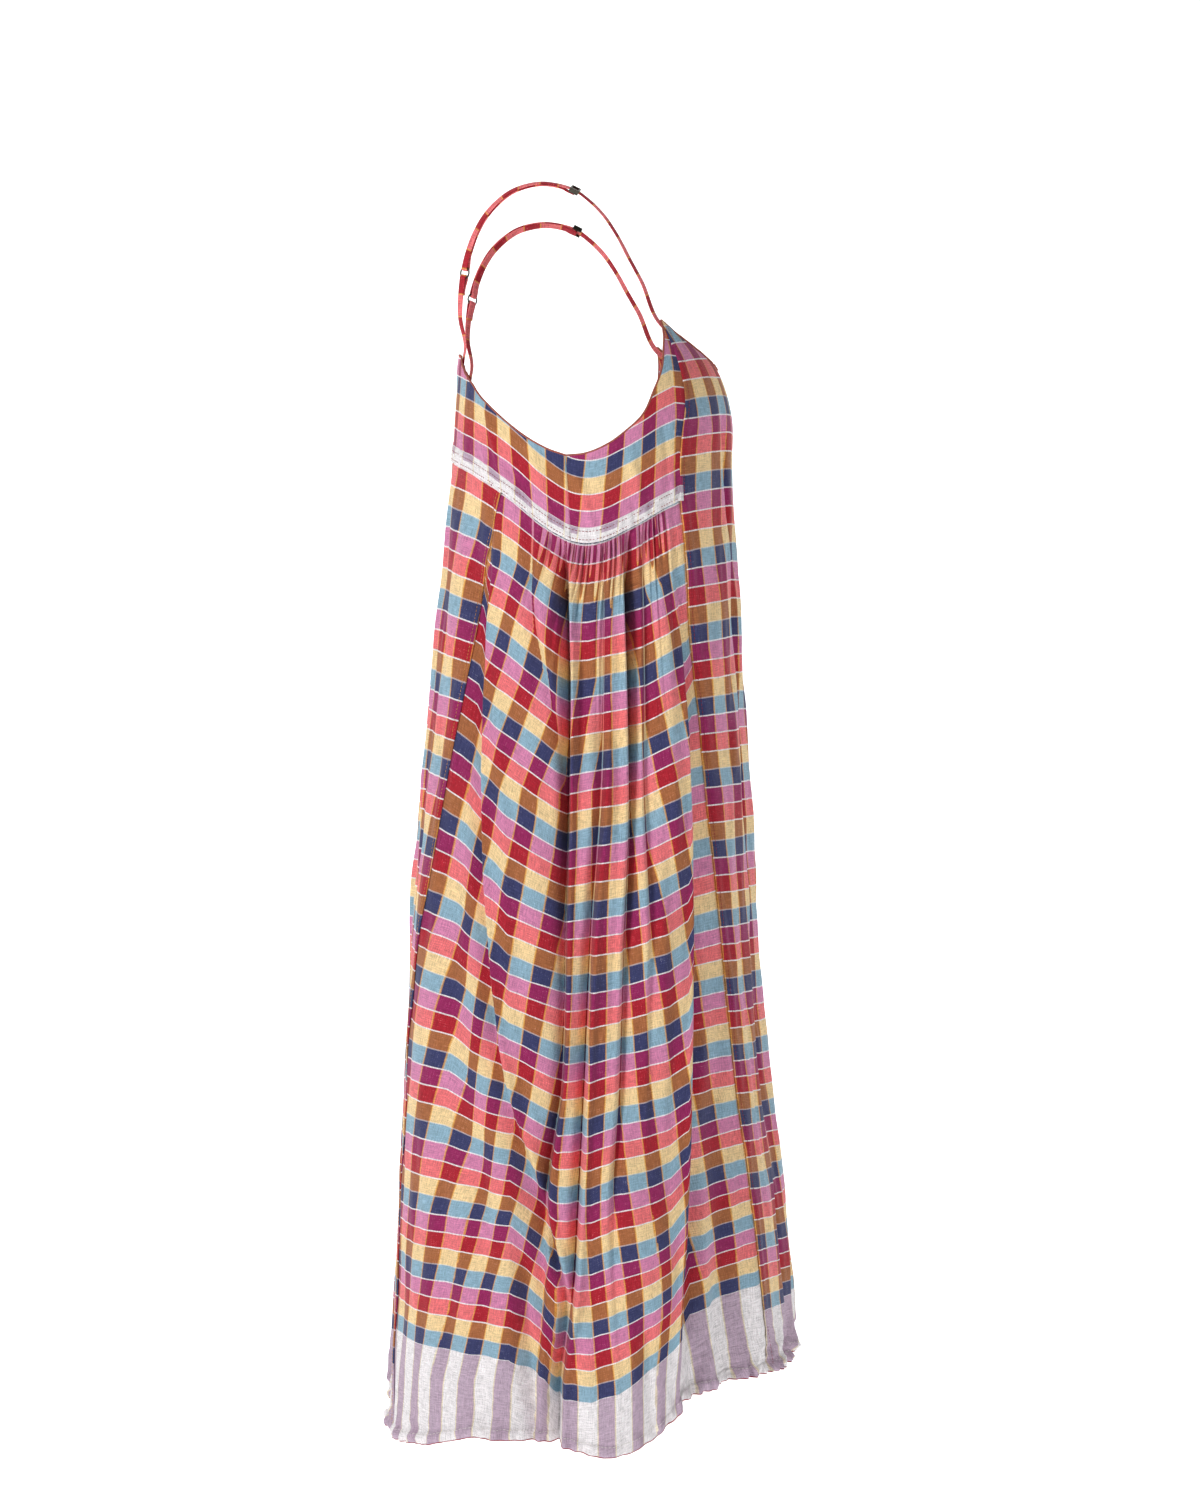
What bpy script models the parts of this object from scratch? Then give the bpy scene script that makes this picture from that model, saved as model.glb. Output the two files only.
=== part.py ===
"""A slip dress in check cotton, worn and hollow, as closed cloth walls in metres with +Z up.

The wearer faces -Y and the wearer's right side is -X. Height 0 is the top of the straps.
Each cloth piece is a flat slab of wall that is wrapped on the dress's form: its place on the
form is a turn (angle round the body, 0 at centre front, 90 degrees at the wearer's right
side, 180 at centre back) and a height.
"""

import math

import bmesh
import bpy
import numpy as np
from mathutils import Vector

MM = 0.001

# Driving sizes of the cloth, metres
WALL = 1.6 * MM
SEAM_GAP = 0.3 * MM
SLANT_GAP = 0.45 * MM
GATHERS = 24
GATHER_RISE = 1.3 * MM
GATHER_LENGTH = 85 * MM
GATHER_LIMITS = (0.08, 0.80)
GATHER_EASE = 0.06
SKIRT_LENGTH = 750 * MM
MEAN_RADIUS = 160 * MM
FOLD_START = 45 * MM

# Driving sizes of the straps and their metal, metres
STRAP_WIDTH = 7.0 * MM
STRAP_WALL = 1.4 * MM
RING_RADIUS = 5.2 * MM
RING_WIRE = 0.7 * MM
LOOP_LEAD = 1.0 * MM
TAB_RETURN = 16 * MM
RING_EASE = 13 * MM
SLIDE_EASE = 8 * MM
SLIDE_LENGTH = 8.5 * MM
SLIDE_BAR = 1.2 * MM
SLIDE_RAIL = 1.3 * MM
LOOP_STEPS = 6
RING_STEPS = (18, 6)

# The form's level sections, millimetres
# height, half width, front depth, back depth, squareness of the back
SECTIONS = (
    (-1085, 264, 179, 184, 3.0),
    (-1000, 257, 177, 179, 3.2),
    (-905, 246, 169, 173.5, 3.6),
    (-778, 229, 153.5, 167, 4.0),
    (-723, 221, 148.5, 165, 4.0),
    (-614, 206, 142, 160, 3.5),
    (-496, 190, 136.5, 150, 3.0),
    (-400, 178, 132.5, 143.5, 2.8),
    (-320, 168, 128, 136, 2.8),
    (-245, 160, 124.5, 129, 2.9),
    (-190, 150, 123, 125.5, 3.0),
    (-170, 144, 118, 124.5, 3.0),
    (-152, 137, 110, 123.5, 3.1),
    (-136, 131, 97, 121, 3.2),
    (-118, 125, 78, 116, 3.2),
    (-95, 116, 60, 108, 3.2),
)
FRONT_SQUARENESS = 2.1

# Edges and seams of the right half, millimetres
# width from the middle plane, height
NECKLINE = ((0, -152), (20, -151.5), (40, -149), (57, -144), (72, -137), (82, -128), (86, -118))
BACK_TOP = ((66, -147), (35, -142), (0, -140))
YOKE_BACK = ((90, -246), (45, -237.5), (0, -234.5))
HEM_FRONT = ((0, -1034), (80, -1032), (130, -1030))
HEM_BACK = ((80, -1082), (0, -1080))
# depth along Y, height
PRINCESS_YOKE = ((-65, -136), (-71, -153), (-75.2, -170), (-78, -190), (-75.3, -221), (-73.2, -255))
PRINCESS_SKIRT = (
    (-76.5, -306), (-80, -342), (-86, -410), (-94, -481), (-107, -609), (-117, -719), (-136.6, -888),
    (-147, -997),
)
ARMHOLE_FRONT = (
    (-60, -143), (-58, -166), (-51.5, -185), (-40.5, -209), (-26.5, -223), (-12, -234), (9, -243),
)
ARMHOLE_BACK = ((40, -239), (59.5, -227.5), (75, -215), (95, -194), (110, -172), (117, -158))
SIDE_SEAM = ((24.8, -244.5), (22.5, -280))
YOKE_SIDE = (
    (-73.5, -281), (-57.5, -290), (-42, -300), (-25, -309.5), (-8, -317.5), (7, -320), (20, -318), (34, -311),
    (50, -300), (65, -287), (80, -275), (105, -257),
)
BACK_SEAM = (
    (88, -306), (96, -334), (110, -416), (125, -501), (141, -603), (155, -689), (161, -760), (171, -1000),
)
HEM_SIDE = (
    (-150, -1029.5), (-110, -1030), (-77, -1036), (-57, -1053), (-17, -1071), (39, -1064), (77, -1060.5),
    (98, -1060), (118, -1066), (148, -1076.5), (166, -1081),
)
SIDE_SEAM_FOOT = 20
BACK_SEAM_HEAD = 80
PRINCESS_YOKE_FOOT = -73.5
HEM_PRINCESS = -151.4
HEM_BACK_SEAM = 175

# Largest folds, millimetres: where they run at each of FOLD_HEIGHTS (depth along Y on a side,
# width on the front and back), how far the cloth stands out there (in, where negative),
# then width at the top and at the hem
FOLD_HEIGHTS = (-330, -560, -780, -900, -1070)
RIGHT_FOLDS = (
    ((26, 25, 31, 46, 34), (-9, -5, -7, -10, -12), 9, 22),
    ((-29, -32, -23, -12, -8), (-10, -5, -4, -2, 0), 9, 20),
    ((-80, -97, -106, -110, -113), (-1, -7, -12, -16, -20), 12, 36),
    ((104, 118, 118, 104, 100), (-5, -8, -9, -5, 0), 14, 30),
    ((-2, -4, 2, -22, -24), (3, 2, 3, 7, 12), 16, 44),
    ((60, 66, 74, 84, 104), (2, 4, 5, 6, 6), 20, 50),
)
LEFT_FOLDS = (
    ((14, 10, 18, 22, 28), (-9, -6, -8, -9, -11), 9, 24),
    ((-38, -40, -35, -40, -44), (-9, -6, -5, -7, -10), 9, 22),
    ((-78, -98, -108, -114, -120), (-1, -5, -9, -12, -14), 12, 32),
    ((70, 84, 96, 92, 84), (-7, -7, -8, -9, -10), 12, 26),
    ((-10, -14, -10, -8, -8), (3, 3, 4, 7, 10), 16, 38),
    ((45, 50, 58, 56, 54), (2, 4, 4, 6, 8), 16, 36),
)
FRONT_FOLDS = (
    ((46, 44, 50, 55, 60), (-3, -3, -3, -3, -4), 12, 26),
    ((-40, -46, -52, -50, -46), (-2, -3, -4, -4, -5), 12, 26),
)
BACK_FOLDS = (
    ((36, 42, 46, 50, 52), (-3, -6, -8, -9, -10), 14, 30),
    ((-50, -52, -48, -50, -54), (-3, -7, -8, -10, -12), 14, 32),
)

# Centre line of the right strap, from the front tip over the shoulder to the back yoke, millimetres
# width, depth, height, roll of the flat side toward the arm in degrees
STRAP_ROUTE = (
    (90.5, -41, -85, 28), (94, -30.5, -66, 26), (97, -18.5, -44, 25), (98.5, -7, -27.5, 25),
    (99, 5, -15.5, 25), (99, 17.5, -6.5, 25), (99, 31, -2, 26), (98.5, 46, 0, 27), (97, 60, -1.8, 29),
    (94.5, 73.5, -6.5, 32), (91.5, 85.8, -15.3, 35), (88, 96.5, -26.5, 38), (84, 105, -40.5, 42),
    (80, 111.5, -57, 46), (76.5, 116, -74.8, 48), (74, 118.3, -92, 45), (71.5, 119.2, -112, 32),
)
SLIDE_DEPTH = 17.5
RING_DEPTH = 116
# The strap's sewn ends lie inside the front tip and the back yoke:
# width, then heights and rolls of three points
FRONT_TUCK = (88.5, (-134, -127, -120), (30, 30, 30))
BACK_TUCK = (67, (-141, -149, -157), (18, 14, 12))
FRONT_SLANT = 1.45
BACK_SLANT = 1.05

# Grid counts
YOKE_ROWS = 6
SKIRT_ROWS = 12
FRONT_COLUMNS = 16
SIDE_YOKE_COLUMNS = 12
BACK_YOKE_COLUMNS = 36
BACK_YOKE_CORNER = 12
BACK_SKIRT_COLUMNS = 26
PLAIN_COLUMNS = (4, 6)
ROW_CROWDING = 1.35
ROUTE_STEP = 9 * MM

# Colours from the photograph, linear values worked out from sRGB
CRIMSON = (0.47, 0.012, 0.045)
PLUM = (0.30, 0.03, 0.13)
SAND = (0.80, 0.60, 0.34)
BLUE = (0.16, 0.26, 0.38)
STEEL = (0.35, 0.33, 0.30)
CLOTH_ROUGHNESS = 0.9


def smooth(knots, values, at):
    """Value at each place of a cubic curve through a table, with slopes from the neighbouring rows."""
    knots = np.asarray(knots, float)
    values = np.asarray(values, float)
    slopes = np.gradient(values, knots)
    at = np.asarray(at, float)
    low = np.clip(np.searchsorted(knots, at) - 1, 0, len(knots) - 2)
    span = knots[low + 1] - knots[low]
    part = np.clip((at - knots[low]) / span, 0.0, 1.0)
    square = part * part
    cube = square * part
    return (
        (2 * cube - 3 * square + 1) * values[low]
        + (cube - 2 * square + part) * span * slopes[low]
        + (3 * square - 2 * cube) * values[low + 1]
        + (cube - square) * span * slopes[low + 1]
    )


def ease(x):
    """0 below 0, 1 above 1, and a smooth step between them."""
    x = np.clip(x, 0.0, 1.0)
    return x * x * (3.0 - 2.0 * x)


SECTION_TABLE = np.array(SECTIONS, float)


def section(column, height):
    """A column of the sections table at a height in metres; lengths come back in metres."""
    return smooth(SECTION_TABLE[:, 0] * MM, SECTION_TABLE[:, column], height)


def form_radius(turn, height):
    """Distance of the smooth form from its upright axis at a turn and height."""
    across = np.abs(np.sin(turn))
    along = np.cos(turn)
    front = along >= 0
    depth = np.where(front, section(2, height), section(3, height)) * MM
    power = np.where(front, FRONT_SQUARENESS, section(4, height))
    half = section(1, height) * MM
    return ((across / half) ** power + (np.abs(along) / depth) ** power) ** (-1.0 / power)


def turn_at_depth(depth, height):
    """Turn on the right half where the form's Y is the given depth."""
    depth = np.asarray(depth, float)
    low = np.zeros_like(depth)
    high = np.full_like(depth, math.pi)
    for _ in range(40):
        middle = (low + high) / 2
        behind = -form_radius(middle, height) * np.cos(middle) > depth
        high = np.where(behind, middle, high)
        low = np.where(behind, low, middle)
    return (low + high) / 2


def turn_at_width(width, height, behind):
    """Turn on the front or back where the form stands the given width right of the middle plane."""
    width = np.asarray(width, float)
    low = np.zeros_like(width)
    high = np.full_like(width, math.pi / 2)
    for _ in range(40):
        middle = (low + high) / 2
        turn = math.pi - middle if behind else middle
        wide = form_radius(turn, height) * np.sin(turn) > width
        high = np.where(wide, middle, high)
        low = np.where(wide, low, middle)
    middle = (low + high) / 2
    return math.pi - middle if behind else middle


def side_points(table):
    """(turn, height) rows from a table of depth and height."""
    rows = np.array(table, float) * MM
    return np.column_stack((turn_at_depth(rows[:, 0], rows[:, 1]), rows[:, 1]))


def centre_points(table, behind):
    """(turn, height) rows from a table of width and height, in order of rising turn."""
    rows = np.array(table, float) * MM
    points = np.column_stack((turn_at_width(np.abs(rows[:, 0]), rows[:, 1], behind), rows[:, 1]))
    return points[np.argsort(points[:, 0])]


def curve(points):
    """Function from 0..1 to (turn, height) along a smooth curve through rows of points."""
    points = np.asarray(points, float)
    steps = np.hypot(np.diff(points[:, 0]) * MEAN_RADIUS, np.diff(points[:, 1]))
    places = np.concatenate(([0.0], np.cumsum(steps)))
    places /= places[-1]

    def at(part):
        return np.stack((smooth(places, points[:, 0], part), smooth(places, points[:, 1], part)), axis=-1)

    return at


def level_line(points):
    """Function from turn to height along rows of points."""
    points = np.asarray(points, float)
    return lambda turn: smooth(points[:, 0], points[:, 1], turn)


# Corner points and long lines of the right half
YOKE_POINTS = np.concatenate((side_points(YOKE_SIDE), centre_points(YOKE_BACK, True)))
YOKE_POINTS = YOKE_POINTS[np.argsort(YOKE_POINTS[:, 0])]
yoke_height = level_line(YOKE_POINTS)
HEM_POINTS = np.concatenate((
    centre_points(HEM_FRONT, False), side_points(HEM_SIDE), centre_points(HEM_BACK, True),
))
HEM_POINTS = HEM_POINTS[np.argsort(HEM_POINTS[:, 0])]
hem_height = level_line(HEM_POINTS)


def on_line(line, depth_mm, height_mm):
    """Corner where a seam of the given depth meets a line, found by a few repeats."""
    height = np.array([height_mm * MM])
    for _ in range(8):
        turn = turn_at_depth(np.array([depth_mm * MM]), height)
        height = line(turn)
    return np.array([[turn[0], height[0]]])


TIP = centre_points((NECKLINE[-1],), False)
YOKE_FRONT_CORNER = on_line(yoke_height, PRINCESS_YOKE_FOOT, -281)
YOKE_SIDE_CORNER = on_line(yoke_height, SIDE_SEAM_FOOT, -318)
YOKE_BACK_CORNER = on_line(yoke_height, BACK_SEAM_HEAD, -275)
ARM_CORNER = side_points(SIDE_SEAM[:1])
STRAP_CORNER = centre_points(BACK_TOP[:1], True)
HEM_FRONT_CORNER = on_line(hem_height, HEM_PRINCESS, -1030)
HEM_BACK_CORNER = on_line(hem_height, HEM_BACK_SEAM, -1080)

princess_yoke = curve(np.concatenate((TIP, side_points(PRINCESS_YOKE), YOKE_FRONT_CORNER)))
princess_skirt = curve(np.concatenate((YOKE_FRONT_CORNER, side_points(PRINCESS_SKIRT), HEM_FRONT_CORNER)))
armhole_front = curve(np.concatenate((TIP, side_points(ARMHOLE_FRONT), ARM_CORNER)))
armhole_back = curve(np.concatenate((ARM_CORNER, side_points(ARMHOLE_BACK), STRAP_CORNER)))
side_seam = curve(np.concatenate((ARM_CORNER, side_points(SIDE_SEAM[1:]), YOKE_SIDE_CORNER)))
back_seam = curve(np.concatenate((YOKE_BACK_CORNER, side_points(BACK_SEAM), HEM_BACK_CORNER)))
neckline = curve(centre_points(NECKLINE, False))
back_top = curve(centre_points(BACK_TOP, True))


def along_line(line, start, end):
    """Function from 0..1 to (turn, height) on a line between two turns."""

    def at(part):
        turn = start + (end - start) * part
        return np.stack((turn, line(turn)), axis=-1)

    return at


def flipped(edge, about=0.0):
    """The same edge on the left half, mirrored in the middle plane."""
    return lambda part: edge(part) * (-1.0, 1.0) + (2.0 * about, 0.0)


def backward(edge):
    return lambda part: edge(1.0 - part)


def joined(edges, shares):
    """Edges end to end, each on its share of 0..1."""
    ends = np.cumsum(shares) / np.sum(shares)
    starts = np.concatenate(([0.0], ends[:-1]))

    def at(part):
        part = np.asarray(part, float)
        points = np.zeros(part.shape + (2,))
        for edge, start, end in zip(edges, starts, ends):
            here = (part >= start - 1e-9) & (part <= end + 1e-9)
            local = np.clip((part - start) / (end - start), 0.0, 1.0)
            points = np.where(here[..., None], edge(local), points)
        return points

    return at


def patch(top, bottom, left, right):
    """Coons patch between four edges: function from (across, down) to (turn, height)."""

    def at(across, down):
        s = across[..., None]
        t = down[..., None]
        corners = (
            (1 - s) * (1 - t) * left(np.zeros(1)) + s * (1 - t) * right(np.zeros(1))
            + (1 - s) * t * left(np.ones(1)) + s * t * right(np.ones(1))
        )
        level = (1 - t) * top(across) + t * bottom(across)
        upright = (1 - s) * left(down) + s * right(down)
        return level + upright - corners

    return at


def fold_paths(folds, kind):
    """Turn of each fold at FOLD_HEIGHTS, with its rise and widths in metres."""
    heights = np.array(FOLD_HEIGHTS, float) * MM
    found = []
    for places, rises, top_width, hem_width in folds:
        places = np.array(places, float) * MM
        if kind in ("right", "left"):
            turns = turn_at_depth(places, heights)
        else:
            turns = turn_at_width(np.abs(places), heights, kind == "back")
        mirrored = kind == "left" or (kind in ("front", "back") and places[0] < 0)
        if mirrored:
            turns = 2 * math.pi - turns if kind == "back" else -turns
        found.append((turns, np.array(rises, float) * MM, top_width * MM, hem_width * MM))
    return found


FOLDS = (
    fold_paths(RIGHT_FOLDS, "right")
    + fold_paths(LEFT_FOLDS, "left")
    + fold_paths(FRONT_FOLDS, "front")
    + fold_paths(BACK_FOLDS, "back")
)


def fold_rise(turn, height):
    """How far the large folds push the cloth out from the smooth form."""
    heights = np.array(FOLD_HEIGHTS[::-1], float) * MM
    right_turn = np.abs((turn + math.pi) % (2 * math.pi) - math.pi)
    below = yoke_height(np.maximum(right_turn, YOKE_POINTS[0, 0])) - height
    total = np.zeros_like(turn)
    radius = form_radius(turn, height)
    for turns, rises, top_width, hem_width in FOLDS:
        centre = smooth(heights, turns[::-1], height)
        rise = smooth(heights, rises[::-1], height)
        width = top_width + (hem_width - top_width) * np.clip(
            (heights[-1] - height) / (heights[-1] - heights[0]), 0.0, 1.0
        )
        away = (turn - centre + math.pi) % (2 * math.pi) - math.pi
        total += rise * np.exp(-((away * radius / width) ** 2))
    return total * ease(below / FOLD_START)


def on_form(turn, height, inset):
    """Points at a distance inside the cloth's outer side."""
    radius = form_radius(turn, height) + fold_rise(turn, height) - inset
    return np.stack((-radius * np.sin(turn), -radius * np.cos(turn), height), axis=-1)


def no_gathers(across, down):
    return np.zeros_like(across)


def gather_columns():
    """Across places of the gathered panel: few at its plain ends, two for each gather between them."""
    first, last = GATHER_LIMITS
    plain_start = np.linspace(0.0, first, PLAIN_COLUMNS[0], endpoint=False)
    ridges = np.linspace(first, last, 2 * GATHERS + 1)
    plain_end = np.linspace(last, 1.0, PLAIN_COLUMNS[1] + 1)[1:]
    return np.concatenate((plain_start, ridges, plain_end))


def gathers(across, down):
    """Rise of the small gathers, which die away down the panel and toward its plain ends."""
    first, last = GATHER_LIMITS
    phase = (across - first) / (last - first) * GATHERS
    inside = ease((across - first) / GATHER_EASE) * ease((last - across) / GATHER_EASE)
    fade = 1.0 - ease(down * SKIRT_LENGTH / GATHER_LENGTH)
    return GATHER_RISE * np.cos(2 * math.pi * phase) * inside * fade


def material(name, colour, roughness, metallic=0.0):
    made = bpy.data.materials.new(name)
    made.use_nodes = True
    shader = made.node_tree.nodes["Principled BSDF"]
    shader.inputs["Base Color"].default_value = (*colour, 1.0)
    shader.inputs["Roughness"].default_value = roughness
    shader.inputs["Metallic"].default_value = metallic
    return made


def add_object(name, shape, made_of, home):
    """A named object from a bmesh, with its faces turned outward."""
    bmesh.ops.recalc_face_normals(shape, faces=shape.faces)
    if shape.calc_volume(signed=True) < 0:
        bmesh.ops.reverse_faces(shape, faces=shape.faces)
    mesh = bpy.data.meshes.new(name)
    shape.to_mesh(mesh)
    shape.free()
    mesh.shade_smooth()
    mesh.set_sharp_from_angle(angle=math.radians(50))
    mesh.materials.append(made_of)
    thing = bpy.data.objects.new(name, mesh)
    home.objects.link(thing)
    return thing


def cloth_panel(name, place, columns, rows, ripple, mirrored, made_of, home):
    """A flat slab of wall, wrapped on the form where the patch puts it."""
    shape = bmesh.new()
    bmesh.ops.create_grid(shape, x_segments=len(columns) - 1, y_segments=len(rows) - 1, size=0.5)
    bmesh.ops.solidify(shape, geom=list(shape.faces), thickness=0.01)
    flat = np.array([vertex.co[:] for vertex in shape.verts])
    column = np.rint((flat[:, 0] + 0.5) * (len(columns) - 1)).astype(int)
    row = np.rint((0.5 - flat[:, 1]) * (len(rows) - 1)).astype(int)
    across = columns[column]
    down = rows[row]
    inner = np.abs(flat[:, 2] - flat[:, 2].max()) > 0.005
    spot = place(across, down)
    turn = spot[:, 0]
    height = spot[:, 1] + (down - 0.5) * SLANT_GAP
    turn = turn + (0.5 - across) * SEAM_GAP / form_radius(turn, height)
    if mirrored:
        turn = -turn
    inset = np.where(inner, WALL, 0.0) - ripple(across, down)
    points = on_form(turn, height, inset)
    for vertex, point in zip(shape.verts, points):
        vertex.co = Vector(point)
    return add_object(name, shape, made_of, home)


def skirt_rows():
    """Rows of a skirt panel, closer together at the gathers."""
    return np.linspace(0.0, 1.0, SKIRT_ROWS + 1) ** ROW_CROWDING


def front_edge():
    """The princess seam from tip to hem, with the rows of the yoke and the skirt beside it."""
    share = YOKE_ROWS / (YOKE_ROWS + SKIRT_ROWS)

    def at(part):
        part = np.asarray(part, float)
        upper = princess_yoke(np.clip(part / share, 0.0, 1.0))
        lower = princess_skirt(np.clip((part - share) / (1 - share), 0.0, 1.0) ** ROW_CROWDING)
        return np.where((part <= share + 1e-9)[..., None], upper, lower)

    return at


def even(count):
    return np.linspace(0.0, 1.0, count + 1)


def behind_line(line):
    """A line of the right half, carried on round the back to the left half."""
    return lambda turn: line(math.pi - np.abs(turn - math.pi))


def build_front(home):
    """Front panel from neckline to hem between the princess seams."""
    seam = front_edge()
    hem_end = HEM_FRONT_CORNER[0, 0]
    place = patch(
        joined((flipped(backward(neckline)), neckline), (1, 1)),
        along_line(lambda turn: hem_height(np.abs(turn)), -hem_end, hem_end),
        flipped(seam),
        seam,
    )
    cloth = material("check_cotton_front", CRIMSON, CLOTH_ROUGHNESS)
    rows = even(YOKE_ROWS + SKIRT_ROWS)
    cloth_panel("front_panel", place, even(FRONT_COLUMNS), rows, no_gathers, False, cloth, home)


def build_yokes(home):
    """Two side yokes and the straight back yoke."""
    cloth = material("check_cotton_yoke", SAND, CLOTH_ROUGHNESS)
    side_end = YOKE_SIDE_CORNER[0, 0]
    side = patch(
        armhole_front, along_line(yoke_height, YOKE_FRONT_CORNER[0, 0], side_end), princess_yoke, side_seam,
    )
    columns = even(SIDE_YOKE_COLUMNS)
    cloth_panel("side_yoke_right", side, columns, even(YOKE_ROWS), no_gathers, False, cloth, home)
    cloth_panel("side_yoke_left", side, columns, even(YOKE_ROWS), no_gathers, True, cloth, home)

    half = BACK_YOKE_COLUMNS / 2 - BACK_YOKE_CORNER
    far_top = flipped(backward(back_top), math.pi)
    far_armhole = flipped(backward(armhole_back), math.pi)
    shares = (BACK_YOKE_CORNER, half, half, BACK_YOKE_CORNER)
    top = joined((armhole_back, back_top, far_top, far_armhole), shares)
    bottom = along_line(behind_line(yoke_height), side_end, 2 * math.pi - side_end)
    back = patch(top, bottom, side_seam, flipped(side_seam, math.pi))
    cloth_panel("back_yoke", back, even(BACK_YOKE_COLUMNS), even(YOKE_ROWS), no_gathers, False, cloth, home)


def build_skirts(home):
    """Two gathered side skirts and the back skirt."""
    front_end = YOKE_FRONT_CORNER[0, 0]
    back_end = YOKE_BACK_CORNER[0, 0]
    hem_back_end = HEM_BACK_CORNER[0, 0]
    side = patch(
        along_line(yoke_height, front_end, back_end),
        along_line(hem_height, HEM_FRONT_CORNER[0, 0], hem_back_end),
        princess_skirt,
        back_seam,
    )
    side_cloth = material("check_cotton_side", PLUM, CLOTH_ROUGHNESS)
    cloth_panel("side_skirt_right", side, gather_columns(), skirt_rows(), gathers, False, side_cloth, home)
    cloth_panel("side_skirt_left", side, gather_columns(), skirt_rows(), gathers, True, side_cloth, home)

    back = patch(
        along_line(behind_line(yoke_height), back_end, 2 * math.pi - back_end),
        along_line(behind_line(hem_height), hem_back_end, 2 * math.pi - hem_back_end),
        back_seam,
        flipped(back_seam, math.pi),
    )
    back_cloth = material("check_cotton_back", BLUE, CLOTH_ROUGHNESS)
    columns = even(BACK_SKIRT_COLUMNS)
    cloth_panel("back_skirt", back, columns, skirt_rows(), no_gathers, False, back_cloth, home)


class StrapRoute:
    """The strap's centre line with its outward and sideways directions, read by distance from the front."""

    def __init__(self):
        tip = self.tucked(FRONT_TUCK, FRONT_SLANT, False)
        back = self.tucked(BACK_TUCK, BACK_SLANT, True)
        table = np.array(STRAP_ROUTE, float)
        over = table[:, :3] * (-MM, MM, MM)
        self.points = np.concatenate((tip, over, back))
        self.rolls = np.radians(np.concatenate((FRONT_TUCK[2], table[:, 3], BACK_TUCK[2])))
        steps = np.linalg.norm(np.diff(self.points, axis=0), axis=1)
        self.places = np.concatenate(([0.0], np.cumsum(steps)))
        self.length = self.places[-1]

    def tucked(self, tuck, slant, behind):
        """Points of a sewn end, inside the wall; slant allows for how far the wall leans there."""
        heights = np.array(tuck[1], float) * MM
        turns = turn_at_width(np.full(len(heights), tuck[0] * MM), heights, behind)
        return on_form(turns, heights, (WALL + SEAM_GAP + STRAP_WALL / 2) * slant)

    def point(self, place):
        return Vector([float(smooth(self.places, self.points[:, k], place)) for k in range(3)])

    def frame(self, place):
        """Point, direction, outward direction and sideways direction at a place."""
        step = 0.5 * MM
        here = self.point(place)
        ahead = self.point(min(place + step, self.length))
        forward = (ahead - self.point(max(place - step, 0.0))).normalized()
        across = Vector((-1.0, 0.0, 0.0))
        outward = forward.cross(across).normalized()
        if outward.dot(here - Vector((here.x, 0.03, -0.12))) < 0:
            outward = -outward
        roll = float(smooth(self.places, self.rolls, place))
        arm_side = (across - forward * across.dot(forward)).normalized()
        outward = (outward * math.cos(roll) + arm_side * math.sin(roll)).normalized()
        return here, forward, outward, forward.cross(outward).normalized()

    def place_of_depth(self, depth_mm):
        """Distance along the route to a depth on its way over the shoulder."""
        places = np.linspace(0.0, self.length, 2000)
        depths = smooth(self.places, self.points[:, 1], places)
        over = (places > 0.15 * self.length) & (places < 0.85 * self.length)
        return float(places[over][np.argmin(np.abs(depths[over] - depth_mm * MM))])


def swept_band(name, stations, made_of, home, mirrored):
    """A flat band through (point, outward, sideways) stations."""
    half = STRAP_WIDTH / 2
    thick = STRAP_WALL / 2
    outline = ((half, thick), (half, -thick), (-half, -thick), (-half, thick))
    shape = bmesh.new()
    rings = []
    for point, outward, sideways in stations:
        ring = []
        for across, out in outline:
            spot = point + sideways * across + outward * out
            if mirrored:
                spot.x = -spot.x
            ring.append(shape.verts.new(spot))
        rings.append(ring)
    for first, second in zip(rings, rings[1:]):
        for k in range(len(outline)):
            following = (k + 1) % len(outline)
            shape.faces.new((first[k], first[following], second[following], second[k]))
    shape.faces.new(rings[0])
    shape.faces.new(rings[-1])
    return add_object(name, shape, made_of, home)


def run_stations(route, start, end, drop):
    """Stations along the route; drop gives how far inside the route each place lies."""
    count = max(2, round(abs(end - start) / ROUTE_STEP) + 1)
    stations = []
    for place in np.linspace(start, end, count):
        here, forward, outward, sideways = route.frame(place)
        stations.append((here - outward * drop(place), outward, sideways))
    return stations


# The strap's turn round the ring's wire: its middle radius, and how far its centre lies from the ring's
LOOP_RADIUS = RING_WIRE + SEAM_GAP + STRAP_WALL / 2
LOOP_REACH = math.sqrt(RING_RADIUS ** 2 - (STRAP_WIDTH / 2) ** 2)


def loop_stations(route, ring_place, toward):
    """Stations of the turn through the ring: toward is -1 for the strap above it and 1 for the tab below."""
    here, forward, outward, sideways = route.frame(ring_place)
    centre = here - outward * LOOP_RADIUS + forward * toward * LOOP_REACH
    stations = []
    for k in range(LOOP_STEPS + 1):
        angle = math.pi * k / LOOP_STEPS
        spoke = outward * math.cos(angle) - forward * toward * math.sin(angle)
        stations.append((centre + spoke * LOOP_RADIUS, spoke, sideways))
    return stations


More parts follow.
